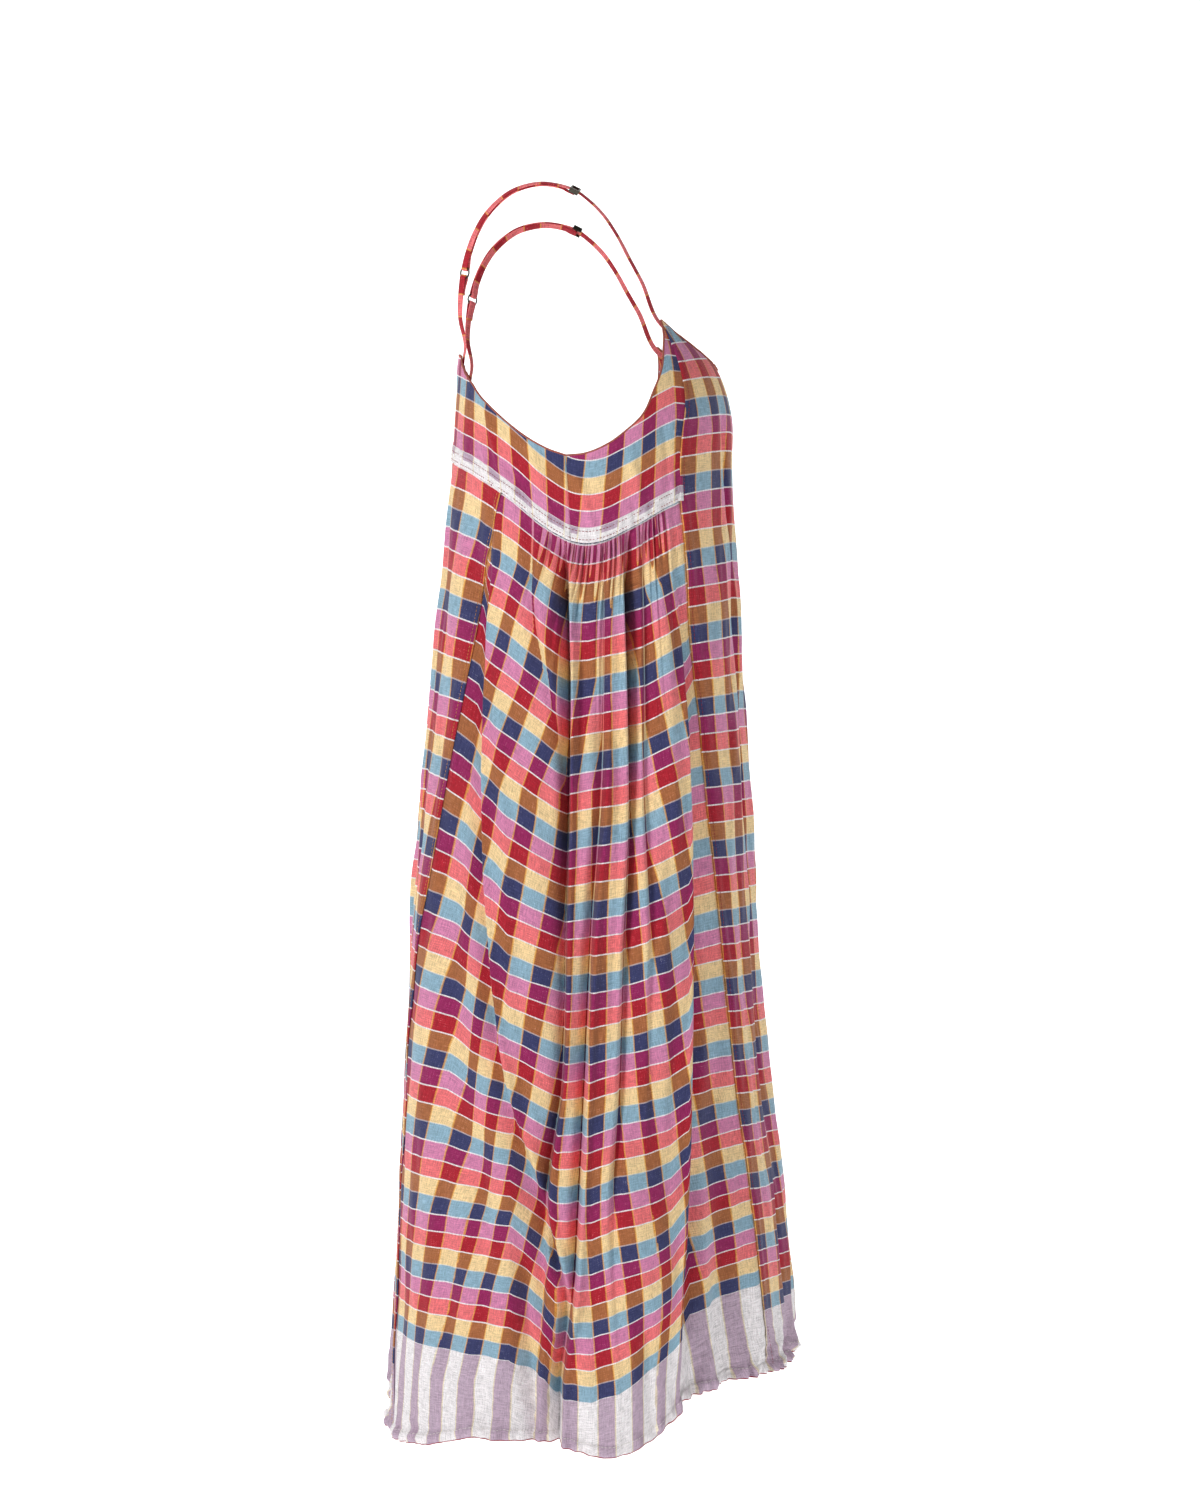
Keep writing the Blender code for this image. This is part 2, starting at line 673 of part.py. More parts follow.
def build_strap(home, side, mirrored, cloth, metal):
    """One strap with its tab, ring and slide."""
    route = StrapRoute()
    ring_place = route.place_of_depth(RING_DEPTH)
    slide_place = route.place_of_depth(SLIDE_DEPTH)
    layered = STRAP_WALL + SEAM_GAP
    under_slide = layered + SLIDE_BAR + SEAM_GAP

    def flat(place):
        return 0.0

    def inner_drop(place):
        """The returning layer: wide of the ring's wire, close under the strap, then under the slide's bar."""
        near_ring = 1.0 - ease((ring_place - LOOP_REACH - place) / RING_EASE)
        near_slide = 1.0 - ease((place - slide_place - SLIDE_LENGTH / 2) / SLIDE_EASE)
        return layered + (2 * LOOP_RADIUS - layered) * near_ring + (under_slide - layered) * near_slide

    def tab_drop(place):
        near_ring = 1.0 - ease((place - ring_place - LOOP_REACH) / RING_EASE)
        return layered + (2 * LOOP_RADIUS - layered) * near_ring

    above = ring_place - LOOP_REACH - LOOP_LEAD
    strap = run_stations(route, 0.0, above, flat) + loop_stations(route, ring_place, -1)
    strap += face_down(run_stations(route, above, slide_place - SLIDE_BAR, inner_drop))
    swept_band("strap_" + side, strap, cloth, home, mirrored)

    below = ring_place + LOOP_REACH + LOOP_LEAD
    tab = run_stations(route, route.length, below, flat) + loop_stations(route, ring_place, 1)
    tab += face_down(run_stations(route, below, ring_place + LOOP_REACH + TAB_RETURN, tab_drop))
    swept_band("back_tab_" + side, tab, cloth, home, mirrored)

    build_ring(home, side, mirrored, metal, route, ring_place)
    build_slide(home, side, mirrored, metal, route, slide_place)


def face_down(stations):
    """The returning layer lies turned over, as its loop through the ring leaves it."""
    return [(point, -outward, sideways) for point, outward, sideways in stations]


def build_ring(home, side, mirrored, metal, route, ring_place):
    """Round wire ring in the plane of the strap."""
    here, forward, outward, sideways = route.frame(ring_place)
    centre = here - outward * LOOP_RADIUS
    bpy.ops.mesh.primitive_torus_add(
        major_radius=RING_RADIUS, minor_radius=RING_WIRE,
        major_segments=RING_STEPS[0], minor_segments=RING_STEPS[1],
    )
    ring = bpy.context.object
    place_piece(ring, "ring_" + side, centre, forward, outward, mirrored, metal, home)


def place_piece(thing, name, centre, forward, outward, mirrored, metal, home):
    """Turn a piece made flat at the origin to the strap's direction, and put it in the dress's collection."""
    sideways = forward.cross(outward)
    for vertex in thing.data.vertices:
        spot = centre + forward * vertex.co.x + sideways * vertex.co.y + outward * vertex.co.z
        if mirrored:
            spot.x = -spot.x
        vertex.co = spot
    shape = bmesh.new()
    shape.from_mesh(thing.data)
    bpy.data.objects.remove(thing)
    add_object(name, shape, metal, home)


def box_piece(size, centre):
    bpy.ops.mesh.primitive_cube_add(size=1.0)
    thing = bpy.context.object
    for vertex in thing.data.vertices:
        vertex.co = Vector([vertex.co[k] * size[k] + centre[k] for k in range(3)])
    return thing


def build_slide(home, side, mirrored, metal, route, slide_place):
    """Strap slide: two rails, two end bars over the strap and a middle bar under it."""
    here, forward, outward, sideways = route.frame(slide_place)
    inner_half = STRAP_WIDTH / 2 + SEAM_GAP
    bar_drop = STRAP_WALL / 2 + SEAM_GAP + SLIDE_BAR / 2
    rail_height = 2 * bar_drop + SLIDE_BAR
    rails = [
        box_piece((SLIDE_LENGTH, SLIDE_RAIL, rail_height), (0.0, sign * (inner_half + SLIDE_RAIL / 2), 0.0))
        for sign in (-1, 1)
    ]
    across = 2 * inner_half + SLIDE_RAIL
    end_place = SLIDE_LENGTH / 2 - SLIDE_BAR / 2
    bars = [
        box_piece((SLIDE_BAR, across, SLIDE_BAR), (-end_place, 0.0, bar_drop)),
        box_piece((SLIDE_BAR, across, SLIDE_BAR), (end_place, 0.0, bar_drop)),
        box_piece((SLIDE_BAR, across, SLIDE_BAR), (0.0, 0.0, -bar_drop)),
    ]
    slide = rails[0]
    for other in rails[1:] + bars:
        union = slide.modifiers.new("join", "BOOLEAN")
        union.operation = "UNION"
        union.solver = "EXACT"
        union.object = other
        bpy.context.view_layer.update()
        whole = bpy.data.meshes.new_from_object(slide.evaluated_get(bpy.context.evaluated_depsgraph_get()))
        slide.modifiers.clear()
        slide.data = whole
        bpy.data.objects.remove(other)
    place_piece(slide, "slide_" + side, here, forward, outward, mirrored, metal, home)


def build_straps(home):
    cloth = material("check_cotton_strap", CRIMSON, CLOTH_ROUGHNESS)
    metal = material("dark_metal", STEEL, 0.35, 1.0)
    for side, mirrored in (("right", False), ("left", True)):
        build_strap(home, side, mirrored, cloth, metal)


def main():
    for thing in list(bpy.data.objects):
        bpy.data.objects.remove(thing)
    home = bpy.data.collections.new("slip_dress")
    bpy.context.scene.collection.children.link(home)
    build_front(home)
    build_yokes(home)
    build_skirts(home)
    build_straps(home)


main()
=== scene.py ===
"""A slip dress in check cotton: its looks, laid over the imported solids.

Metres, +Z up; the wearer faces -Y and the wearer's right side is -X. Height 0 is the top of the
straps. Cloth is put on the dress's form by turn (angle round the body, 0 at centre front, 90
degrees at the wearer's right side, 180 at centre back) and height. Each cloth piece carries a
thread map as its UV map: U counts pairs of warp stripes, V counts weft bands.
"""

import math

import bpy
import numpy as np
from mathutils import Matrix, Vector


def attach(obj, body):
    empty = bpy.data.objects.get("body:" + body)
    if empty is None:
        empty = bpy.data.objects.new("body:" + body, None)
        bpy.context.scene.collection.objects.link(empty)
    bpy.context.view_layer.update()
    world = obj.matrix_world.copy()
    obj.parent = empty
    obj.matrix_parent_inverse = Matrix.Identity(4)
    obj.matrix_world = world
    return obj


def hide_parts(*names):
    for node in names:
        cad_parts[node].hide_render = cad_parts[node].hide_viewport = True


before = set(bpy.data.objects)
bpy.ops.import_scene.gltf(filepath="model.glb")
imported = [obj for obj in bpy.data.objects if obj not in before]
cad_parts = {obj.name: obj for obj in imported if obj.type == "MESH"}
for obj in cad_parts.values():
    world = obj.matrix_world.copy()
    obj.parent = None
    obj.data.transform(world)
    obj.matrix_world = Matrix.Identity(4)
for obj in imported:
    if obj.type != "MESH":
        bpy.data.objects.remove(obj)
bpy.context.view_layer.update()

MM = 0.001
CLOTH = 0.9 * MM
# Width of a pair of warp stripes and of a weft band, and the dark stripe's share of its pair
PAIR = 38 * MM
BAND = 17.4 * MM
DARK_SHARE = 0.46
MEAN_RADIUS = 160 * MM
HALVINGS = 40
# Below the yoke's edge, how far each kind of relief takes to reach its full rise
FOLD_START = 45 * MM
SHARP_FOLD_START = 16 * MM
RUMPLE_START = 30 * MM
CREASE_STRENGTH = 1.6
GATHERS = 24
GATHER_LIMITS = (0.08, 0.80)
GATHER_HEIGHT = 7.0 * MM
HEM_SHARE = 0.984
HEM_ROWS = 13
# Each side's name, and whether it mirrors the right one
SIDES = (("right", False), ("left", True))

# The form's level sections: height, half width, front depth and back depth in millimetres, and
# squareness behind
SECTIONS = (
    (-1085, 264, 179, 184, 3.0), (-1000, 257, 177, 179, 3.2), (-905, 246, 169, 173.5, 3.6),
    (-778, 229, 153.5, 167, 4.0), (-723, 221, 148.5, 165, 4.0), (-614, 206, 142, 160, 3.5),
    (-496, 190, 136.5, 150, 3.0), (-400, 178, 132.5, 143.5, 2.8), (-320, 168, 128, 136, 2.8),
    (-245, 160, 124.5, 129, 2.9), (-190, 150, 123, 125.5, 3.0), (-170, 144, 118, 124.5, 3.0),
    (-152, 137, 110, 123.5, 3.1), (-136, 131, 97, 121, 3.2), (-118, 125, 78, 116, 3.2),
    (-95, 116, 60, 108, 3.2),
)
FRONT_SQUARENESS = 2.1

# Edges and seams of the right half, millimetres: width from the middle plane, height
NECKLINE = ((0, -152), (20, -151.5), (40, -149), (57, -144), (72, -137), (82, -128), (86, -118))
BACK_TOP = ((66, -147), (35, -142), (0, -140))
YOKE_BACK = ((90, -246), (45, -237.5), (0, -234.5))
HEM_FRONT = ((0, -1034), (80, -1032), (130, -1030))
HEM_BACK = ((80, -1082), (0, -1080))
# The same, depth along Y, height
PRINCESS_YOKE = ((-65, -136), (-71, -153), (-75.2, -170), (-78, -190), (-75.3, -221), (-73.2, -255))
PRINCESS_SKIRT = (
    (-76.5, -306), (-80, -342), (-86, -410), (-94, -481), (-107, -609), (-117, -719),
    (-136.6, -888), (-147, -997),
)
ARMHOLE_FRONT = (
    (-60, -143), (-58, -166), (-51.5, -185), (-40.5, -209), (-26.5, -223), (-12, -234), (9, -243),
)
ARMHOLE_BACK = ((40, -239), (59.5, -227.5), (75, -215), (95, -194), (110, -172), (117, -158))
SIDE_SEAM = ((24.8, -244.5), (22.5, -280))
YOKE_SIDE = (
    (-73.5, -281), (-57.5, -290), (-42, -300), (-25, -309.5), (-8, -317.5), (7, -320), (20, -318),
    (34, -311), (50, -300), (65, -287), (80, -275), (105, -257),
)
BACK_SEAM = (
    (88, -306), (96, -334), (110, -416), (125, -501), (141, -603), (155, -689), (161, -760),
    (171, -1000),
)
HEM_SIDE = (
    (-150, -1029.5), (-110, -1030), (-77, -1036), (-57, -1053), (-17, -1071), (39, -1064),
    (77, -1060.5), (98, -1060), (118, -1066), (148, -1076.5), (166, -1081),
)

# Largest folds, millimetres: place at each of FOLD_HEIGHTS, how far they stand out there, and
# their width at the top and at the hem
FOLD_HEIGHTS = (-330, -560, -780, -900, -1070)
RIGHT_FOLDS = (
    ((26, 25, 31, 46, 34), (-9, -5, -7, -10, -12), 9, 22),
    ((-29, -32, -23, -12, -8), (-10, -5, -4, -2, 0), 9, 20),
    ((-80, -97, -106, -110, -113), (-1, -7, -12, -16, -20), 12, 36),
    ((104, 118, 118, 104, 100), (-5, -8, -9, -5, 0), 14, 30),
    ((-2, -4, 2, -22, -24), (3, 2, 3, 7, 12), 16, 44),
    ((60, 66, 74, 84, 104), (2, 4, 5, 6, 6), 20, 50),
)
LEFT_FOLDS = (
    ((14, 10, 18, 22, 28), (-9, -6, -8, -9, -11), 9, 24),
    ((-38, -40, -35, -40, -44), (-9, -6, -5, -7, -10), 9, 22),
    ((-78, -98, -108, -114, -120), (-1, -5, -9, -12, -14), 12, 32),
    ((70, 84, 96, 92, 84), (-7, -7, -8, -9, -10), 12, 26),
    ((-10, -14, -10, -8, -8), (3, 3, 4, 7, 10), 16, 38),
    ((45, 50, 58, 56, 54), (2, 4, 4, 6, 8), 16, 36),
)
FRONT_FOLDS = (
    ((46, 44, 50, 55, 60), (-3, -3, -3, -3, -4), 12, 26),
    ((-40, -46, -52, -50, -46), (-2, -3, -4, -4, -5), 12, 26),
)
BACK_FOLDS = (
    ((36, 42, 46, 50, 52), (-3, -6, -8, -9, -10), 14, 30),
    ((-50, -52, -48, -50, -54), (-3, -7, -8, -10, -12), 14, 32),
)

# Crease lines of the right side panel at each of LEVELS, millimetres along Y, from the back seam
# to the princess seam, with the warp count (pairs from the back seam) just behind and just ahead
LEVELS = (-335, -373, -437, -530, -638, -770, -884, -941, -1018)
WARP_LINES = (
    ((91, 95.3, 103, 112.6, 114.5, 108.8, 105.8, 118.6, 135.6),
     (0.01, 0.1, 0.25, 0.46, 1, 2, 3, 3, 3), (0.01, 0.1, 0.25, 0.46, 1, 2, 3, 3, 3)),
    ((90.6, 94.7, 97.1, 98.3, 92.8, 76.4, 44.8, 44.6, 51),
     (0.02, 0.2, 0.46, 0.95, 1.95, 3.46, 5.4, 5.98, 6),
     (0.03, 0.25, 0.9, 1.75, 2.65, 3.6, 5.42, 6, 6)),
    ((54.3, 53.4, 40.5, 25.4, 27.6, 30, 43, 33, 39.4),
     (1.4, 1.8, 2.62, 4.15, 4.44, 5.12, 5.46, 6.46, 6.46),
     (2, 2.46, 3, 4.2, 4.46, 5.15, 5.5, 6.46, 6.46)),
    ((26.3, 25.4, 23.6, 23.9, 26.3, 28.7, 40.5, 25.5, 32),
     (3.5, 3.5, 4, 4.25, 4.47, 5.15, 5.55, 6.73, 6.8),
     (5.4, 5.45, 5.7, 6, 6.1, 6.2, 6.1, 6.73, 6.8)),
    ((-6.8, -7.6, -7.6, -5.9, 2.5, 9.1, 14.9, 18.1, 28.8),
     (6.7, 6.7, 6.65, 7.4, 7, 6.97, 7, 7, 6.93),
     (8.2, 8.25, 8.3, 8.2, 8.05, 7.85, 7.7, 7.5, 6.95)),
    ((-28, -29.2, -31.2, -32.4, -27.6, -22.4, -14.9, -17.3, -22.2),
     (8.95, 8.97, 8.97, 8.98, 8.98, 8.9, 8.85, 8.75, 8.65),
     (10.9, 11, 10.62, 10.5, 10, 9.55, 8.9, 8.75, 8.65)),
    ((-42.4, -43.2, -43.9, -44.5, -47.7, -47.3, -47.9, -54.4, -49.3),
     (11.3, 11.46, 11.3, 11, 10.85, 10.46, 10, 10, 10),
     (12.7, 12.2, 12.15, 11.7, 11.05, 10.46, 10, 10, 10)),
    ((-68.8, -75, -81.1, -85.3, -88.2, -85.1, -82.2, -77.4, -73.1),
     (13.7, 13.8, 13.4, 12.98, 12.45, 11.7, 11.25, 11.3, 11.45),
     (13.8, 13.85, 13.5, 13.46, 13.46, 13, 12.5, 12.1, 11.7)),
)
SIDE_PAIRS = 14.0
HALF_PAIRS = 3.23
# Weft bands from the yoke to the white border, and from the neck to it on the front; how much
# their spacing changes with height
SIDE_BANDS = 48
FRONT_BANDS = 56
SKIRT_BOW = 0.124
FRONT_BOW = 0.166

# Heights, millimetres, of every fourth or eighth weft band of the right side panel along upright
# lines: place along Y at the top and at the hem, then the heights of the bands in BAND_LINES
BAND_LINES = (4, 8, 16, 24, 32, 40, 48)
BAND_HEIGHTS = (
    ((150, 168), (-250, -330, -470, -628, -760, -884, -993)),
    ((98, 142), (-295, -372, -508, -645, -766, -884, -993)),
    ((95, 112), (-330, -396, -526, -656, -777, -884, -993)),
    ((94, 60), (-334, -404, -541, -676, -790, -889, -998)),
    ((72, 69), (-347, -416, -553, -683, -789, -888, -998)),
    ((30, 42), (-382, -450, -577, -695, -810, -919, -1014)),
    ((22, 34), (-388, -455, -582, -699, -815, -926, -1027)),
    ((6, 2), (-388, -451.5, -577, -698.5, -814.5, -927, -1029)),
    ((-24, -20), (-381, -446, -574, -695, -806.5, -918, -1021)),
    ((-44, -48), (-374, -441, -566, -687, -803, -912, -1003)),
    ((-64, -64), (-362, -429, -556, -682, -799, -905, -991)),
    ((-84, -76), (-350, -420, -548, -672, -790, -888, -977)),
    ((-90, -82), (-340, -405, -528, -655, -762, -868, -966)),
    ((-104, -150), (-331, -395, -519, -645, -757, -858, -952)),
)

# Stripe edges of the yokes, millimetres along Y and warp count: side yoke, then back yoke
YOKE_STRIPES = (
    ((-90, -73, -67, -49, -36, -19, -4.3, 14.6, 22.4, 40),
     (3.6, 3.15, 3, 2.46, 2, 1.46, 1, 0.46, 0.2, -0.2)),
    ((10, 22, 25, 38.8, 51.7, 67.2, 79.3, 90.5, 105, 117),
     (0.8, 0.6, 0.46, 0, -0.54, -1, -1.54, -2, -2.54, -3)),
)

# Sharp folds along the crease lines: line, depth at each of LEVELS, reach behind and ahead, then
# the rise of the edge beside it and how far ahead of the line that edge stands, millimetres
SHARP_FOLDS = (
    (1, (3, 7, 12, 14, 14, 12, 9, 7, 5), 12, 3, 2.0, 4),
    (2, (3, 4, 4, 1, 0, 0, 0, 0, 0), 5, 3, 1.0, 4),
    (3, (10, 28, 32, 22, 15, 12, 13, 13, 11), 4.6, 2.4, 2.2, 5),
    (4, (4, 5, 6, 9, 15, 19, 19, 16, 11), 5.5, 2.4, 1.8, 5),
    (5, (10, 28, 26, 15, 12, 10, 6, 3, 1), 2.6, 4.0, 1.8, -5),
    (6, (5, 7, 7, 8, 7, 3, 0, 0, 0), 2.5, 8, 1.2, -4),
    (7, (2, 4, 7, 10, 11, 12, 12, 11, 9), 2.8, 12, 1.6, -5),
)

# Lighter creases: side, heights of the ends, places at five even steps between them
# (millimetres along Y on a side, across on the front and back), rise, reach behind and ahead
CREASES = (
    ("right", (-172, -282), (104, 95, 88, 81, 76), 1.6, 4, 5),
    ("right", (-224, -300), (57, 52, 47, 42, 38), 1.4, 4, 4),
    ("right", (-225, -262), (99, 97, 95, 93, 91), 1.3, 3, 3),
    ("right", (-235, -302), (84, 76, 66, 58, 49), -1.5, 4, 3),
    ("right", (-250, -318), (18, 14, 8, 4, 2), 1.2, 5, 4),
    ("right", (-228, -300), (-30, -32, -36, -38, -40), 1.2, 6, 4),
    ("right", (-200, -270), (-58, -60, -62, -63, -64), -1.1, 4, 5),
    ("right", (-380, -700), (78, 80, 76, 72, 66), 2.0, 8, 5),
    ("right", (-600, -900), (70, 64, 60, 58, 56), -2.2, 7, 6),
    ("right", (-350, -620), (10, 11, 12, 13, 14), -1.4, 4, 4),
    ("right", (-420, -800), (-18, -19, -20, -16, -12), -1.2, 4, 4),
    ("right", (-330, -640), (-60, -63, -66, -69, -70), 1.8, 7, 5),
    ("right", (-560, -920), (-64, -66, -68, -64, -60), -1.8, 6, 8),
    ("right", (-760, -1050), (100, 96, 92, 90, 92), -3.0, 10, 8),
    ("right", (-820, -1072), (130, 128, 124, 122, 120), -2.6, 9, 9),
    ("right", (-880, -1070), (66, 60, 58, 54, 50), -4.5, 6, 5),
    ("right", (-900, -1078), (4, 0, -4, -6, -8), -1.8, 8, 8),
    ("right", (-940, -1075), (-38, -42, -44, -46, -48), -2.8, 7, 6),
    ("right", (-860, -1060), (-92, -96, -100, -102, -104), 3.0, 8, 8),
    ("right", (-760, -1030), (-122, -126, -130, -134, -138), -1.6, 8, 8),
    ("front", (-176, -330), (62, 60, 58, 56, 54), -3.6, 10, 5),
    ("front", (-300, -640), (54, 50, 48, 50, 52), -4.2, 12, 6),
    ("front", (-600, -1030), (50, 56, 60, 64, 66), -3.4, 14, 8),
    ("front", (-520, -900), (98, 100, 104, 106, 108), -1.6, 7, 6),
    ("front", (-420, -1020), (6, 8, 12, 10, 6), 2.6, 16, 12),
    ("front", (-180, -420), (-64, -62, -58, -56, -54), -3.4, 6, 10),
    ("front", (-500, -1030), (-78, -82, -86, -88, -92), 2.4, 12, 16),
    ("front", (-640, -1034), (-22, -26, -28, -30, -28), -2.6, 9, 12),
    ("front", (-780, -1034), (30, 30, 34, 36, 36), 2.2, 10, 9),
    ("back", (-250, -620), (66, 70, 74, 76, 78), 2.2, 9, 6),
    ("back", (-300, -1080), (12, 14, 8, 2, -4), 3.4, 14, 18),
    ("back", (-500, -1060), (98, 96, 90, 88, 90), -3.0, 10, 8),
    ("back", (-260, -700), (-20, -24, -26, -28, -26), -2.2, 8, 6),
    ("back", (-560, -1080), (-88, -92, -90, -86, -84), 3.0, 14, 10),
    ("back", (-150, -240), (48, 44, 40, 38, 36), -0.9, 6, 5),
    ("back", (-150, -232), (-40, -36, -30, -26, -22), -1.0, 5, 6),
    ("left", (-178, -282), (100, 92, 85, 80, 75), 1.5, 5, 4),
    ("left", (-232, -305), (52, 47, 43, 40, 36), -1.4, 4, 4),
    ("left", (-226, -300), (-34, -36, -38, -40, -44), 1.2, 4, 6),
    ("left", (-340, -700), (48, 50, 54, 58, 60), 2.0, 6, 8),
    ("left", (-340, -560), (-12, -14, -14, -16, -16), -3.0, 3, 4),
    ("left", (-345, -760), (-58, -60, -66, -68, -70), -3.4, 4, 7),
    ("left", (-480, -900), (34, 38, 42, 46, 48), -3.2, 5, 6),
    ("left", (-700, -1060), (-66, -70, -74, -78, -80), 3.4, 9, 7),
    ("left", (-820, -1072), (110, 112, 114, 116, 116), -3.6, 10, 8),
    ("left", (-880, -1070), (4, 2, 0, 0, 2), -3.2, 7, 8),
    ("left", (-900, -1040), (-100, -102, -106, -108, -110), -2.8, 8, 6),
)

# Centre line of the right strap, millimetres: width, depth, height, roll toward the arm in degrees
STRAP_ROUTE = (
    (90.5, -41, -85, 28), (94, -30.5, -66, 26), (97, -18.5, -44, 25), (98.5, -7, -27.5, 25),
    (99, 5, -15.5, 25), (99, 17.5, -6.5, 25), (99, 31, -2, 26), (98.5, 46, 0, 27),
    (97, 60, -1.8, 29), (94.5, 73.5, -6.5, 32), (91.5, 85.8, -15.3, 35), (88, 96.5, -26.5, 38),
    (84, 105, -40.5, 42),
    (80, 111.5, -57, 46), (76.5, 116, -74.8, 48), (74, 118.3, -92, 45), (71.5, 119.2, -112, 32),
)
FRONT_TUCK = (88.5, (-134, -127, -120), (30, 30, 30), 1.45)
BACK_TUCK = (67, (-141, -149, -157), (18, 14, 12), 1.05)
STRAP_WIDTH = 7.0 * MM
STRAP_WALL = 1.4 * MM
CAD_WALL = 1.6 * MM
SEAM_GAP = 0.3 * MM
RING_RADIUS = 5.2 * MM
RING_WIRE = 0.7 * MM
SLIDE_BAR = 1.2 * MM
SLIDE_LENGTH = 8.5 * MM
SLIDE_DEPTH = 17.5
RING_DEPTH = 116
# The middle of the arm's opening, which the straps turn their inner side to
ARM_CENTRE = (0.0, 0.03, -0.12)
STRAP_SIDES = 16
RING_STEPS = 56
EDGE_RADIUS = 0.85 * MM
STITCH_THICK = 0.26 * MM
STITCH_LIFT = 0.2 * MM

CAMERA_PLACE = (-2.6, -0.0045, -0.496)
CAMERA_LENS = 68.64
DRESS_MIDDLE = (0, 0, -0.5)
WORLD_STRENGTH = 0.13


def smooth(knots, values, at):
    """Cubic curve through a table, with slopes from the neighbouring rows."""
    knots = np.asarray(knots, float)
    values = np.asarray(values, float)
    slopes = np.gradient(values, knots)
    at = np.asarray(at, float)
    low = np.clip(np.searchsorted(knots, at) - 1, 0, len(knots) - 2)
    span = knots[low + 1] - knots[low]
    part = np.clip((at - knots[low]) / span, 0.0, 1.0)
    square, cube = part * part, part ** 3
    return (
        (2 * cube - 3 * square + 1) * values[low] + (cube - 2 * square + part) * span * slopes[low]
        + (3 * square - 2 * cube) * values[low + 1] + (cube - square) * span * slopes[low + 1]
    )


def ease(x):
    """0 below 0, 1 above 1, 3x^2 - 2x^3 between."""
    x = np.clip(x, 0.0, 1.0)
    return x * x * (3.0 - 2.0 * x)


SECTION_TABLE = np.array(SECTIONS, float)


def section(column, height):
    return smooth(SECTION_TABLE[:, 0] * MM, SECTION_TABLE[:, column], height)


def form_radius(turn, height):
    """Superellipse round the upright axis: (|across|/half)^p + (|along|/depth)^p = 1."""
    across, along = np.abs(np.sin(turn)), np.cos(turn)
    front = along >= 0
    depth = np.where(front, section(2, height), section(3, height)) * MM
    power = np.where(front, FRONT_SQUARENESS, section(4, height))
    half = section(1, height) * MM
    return ((across / half) ** power + (np.abs(along) / depth) ** power) ** (-1.0 / power)


def halved(beyond, limit, shape):
    """Angle from 0 to the limit at which beyond(angle) turns true, by halving."""
    low, high = np.zeros(shape), np.full(shape, limit)
    for _ in range(HALVINGS):
        middle = (low + high) / 2
        past = beyond(middle)
        high, low = np.where(past, middle, high), np.where(past, low, middle)
    return (low + high) / 2


def turn_at_depth(depth, height):
    """Turn on the right half where the form's Y is the given depth."""
    depth = np.asarray(depth, float)
    return halved(
        lambda turn: -form_radius(turn, height) * np.cos(turn) > depth, math.pi, depth.shape
    )


def turn_at_width(width, height, behind):
    """Turn on the front or back where the form stands the given width right of the middle."""
    width = np.asarray(width, float)

    def turned(angle):
        return math.pi - angle if behind else angle

    return turned(halved(
        lambda angle: form_radius(turned(angle), height) * np.sin(turned(angle)) > width,
        math.pi / 2, width.shape,
    ))


def side_points(table):
    rows = np.array(table, float) * MM
    return np.column_stack((turn_at_depth(rows[:, 0], rows[:, 1]), rows[:, 1]))


def centre_points(table, behind):
    rows = np.array(table, float) * MM
    points = np.column_stack((turn_at_width(np.abs(rows[:, 0]), rows[:, 1], behind), rows[:, 1]))
    return points[np.argsort(points[:, 0])]


def curve(points):
    """Function from 0..1 to (turn, height), even in length, along a smooth curve through points."""
    points = np.asarray(points, float)
    steps = np.hypot(np.diff(points[:, 0]) * MEAN_RADIUS, np.diff(points[:, 1]))
    places = np.concatenate(([0.0], np.cumsum(steps)))
    places /= places[-1]
    return lambda part: np.stack(
        (smooth(places, points[:, 0], part), smooth(places, points[:, 1], part)), axis=-1
    )


def level_line(*tables):
    points = np.concatenate(tables)
    points = points[np.argsort(points[:, 0])]
    return lambda turn: smooth(points[:, 0], points[:, 1], turn)


yoke_height = level_line(side_points(YOKE_SIDE), centre_points(YOKE_BACK, True))
hem_height = level_line(
    centre_points(HEM_FRONT, False), side_points(HEM_SIDE), centre_points(HEM_BACK, True)
)


def on_line(line, depth_mm, height_mm):
    """Corner where a seam of the given depth meets a line, found by a few repeats."""
    height = np.array([height_mm * MM])
    for _ in range(8):
        turn = turn_at_depth(np.array([depth_mm * MM]), height)
        height = line(turn)
    return np.array([[turn[0], height[0]]])


TIP = centre_points((NECKLINE[-1],), False)
YOKE_FRONT_CORNER = on_line(yoke_height, -73.5, -281)
YOKE_SIDE_CORNER = on_line(yoke_height, 20, -318)
YOKE_BACK_CORNER = on_line(yoke_height, 80, -275)
ARM_CORNER = side_points(SIDE_SEAM[:1])
STRAP_CORNER = centre_points(BACK_TOP[:1], True)
HEM_FRONT_CORNER = on_line(hem_height, -151.4, -1030)
HEM_BACK_CORNER = on_line(hem_height, 175, -1080)
YOKE_TOP_TURN = YOKE_FRONT_CORNER[0, 0]

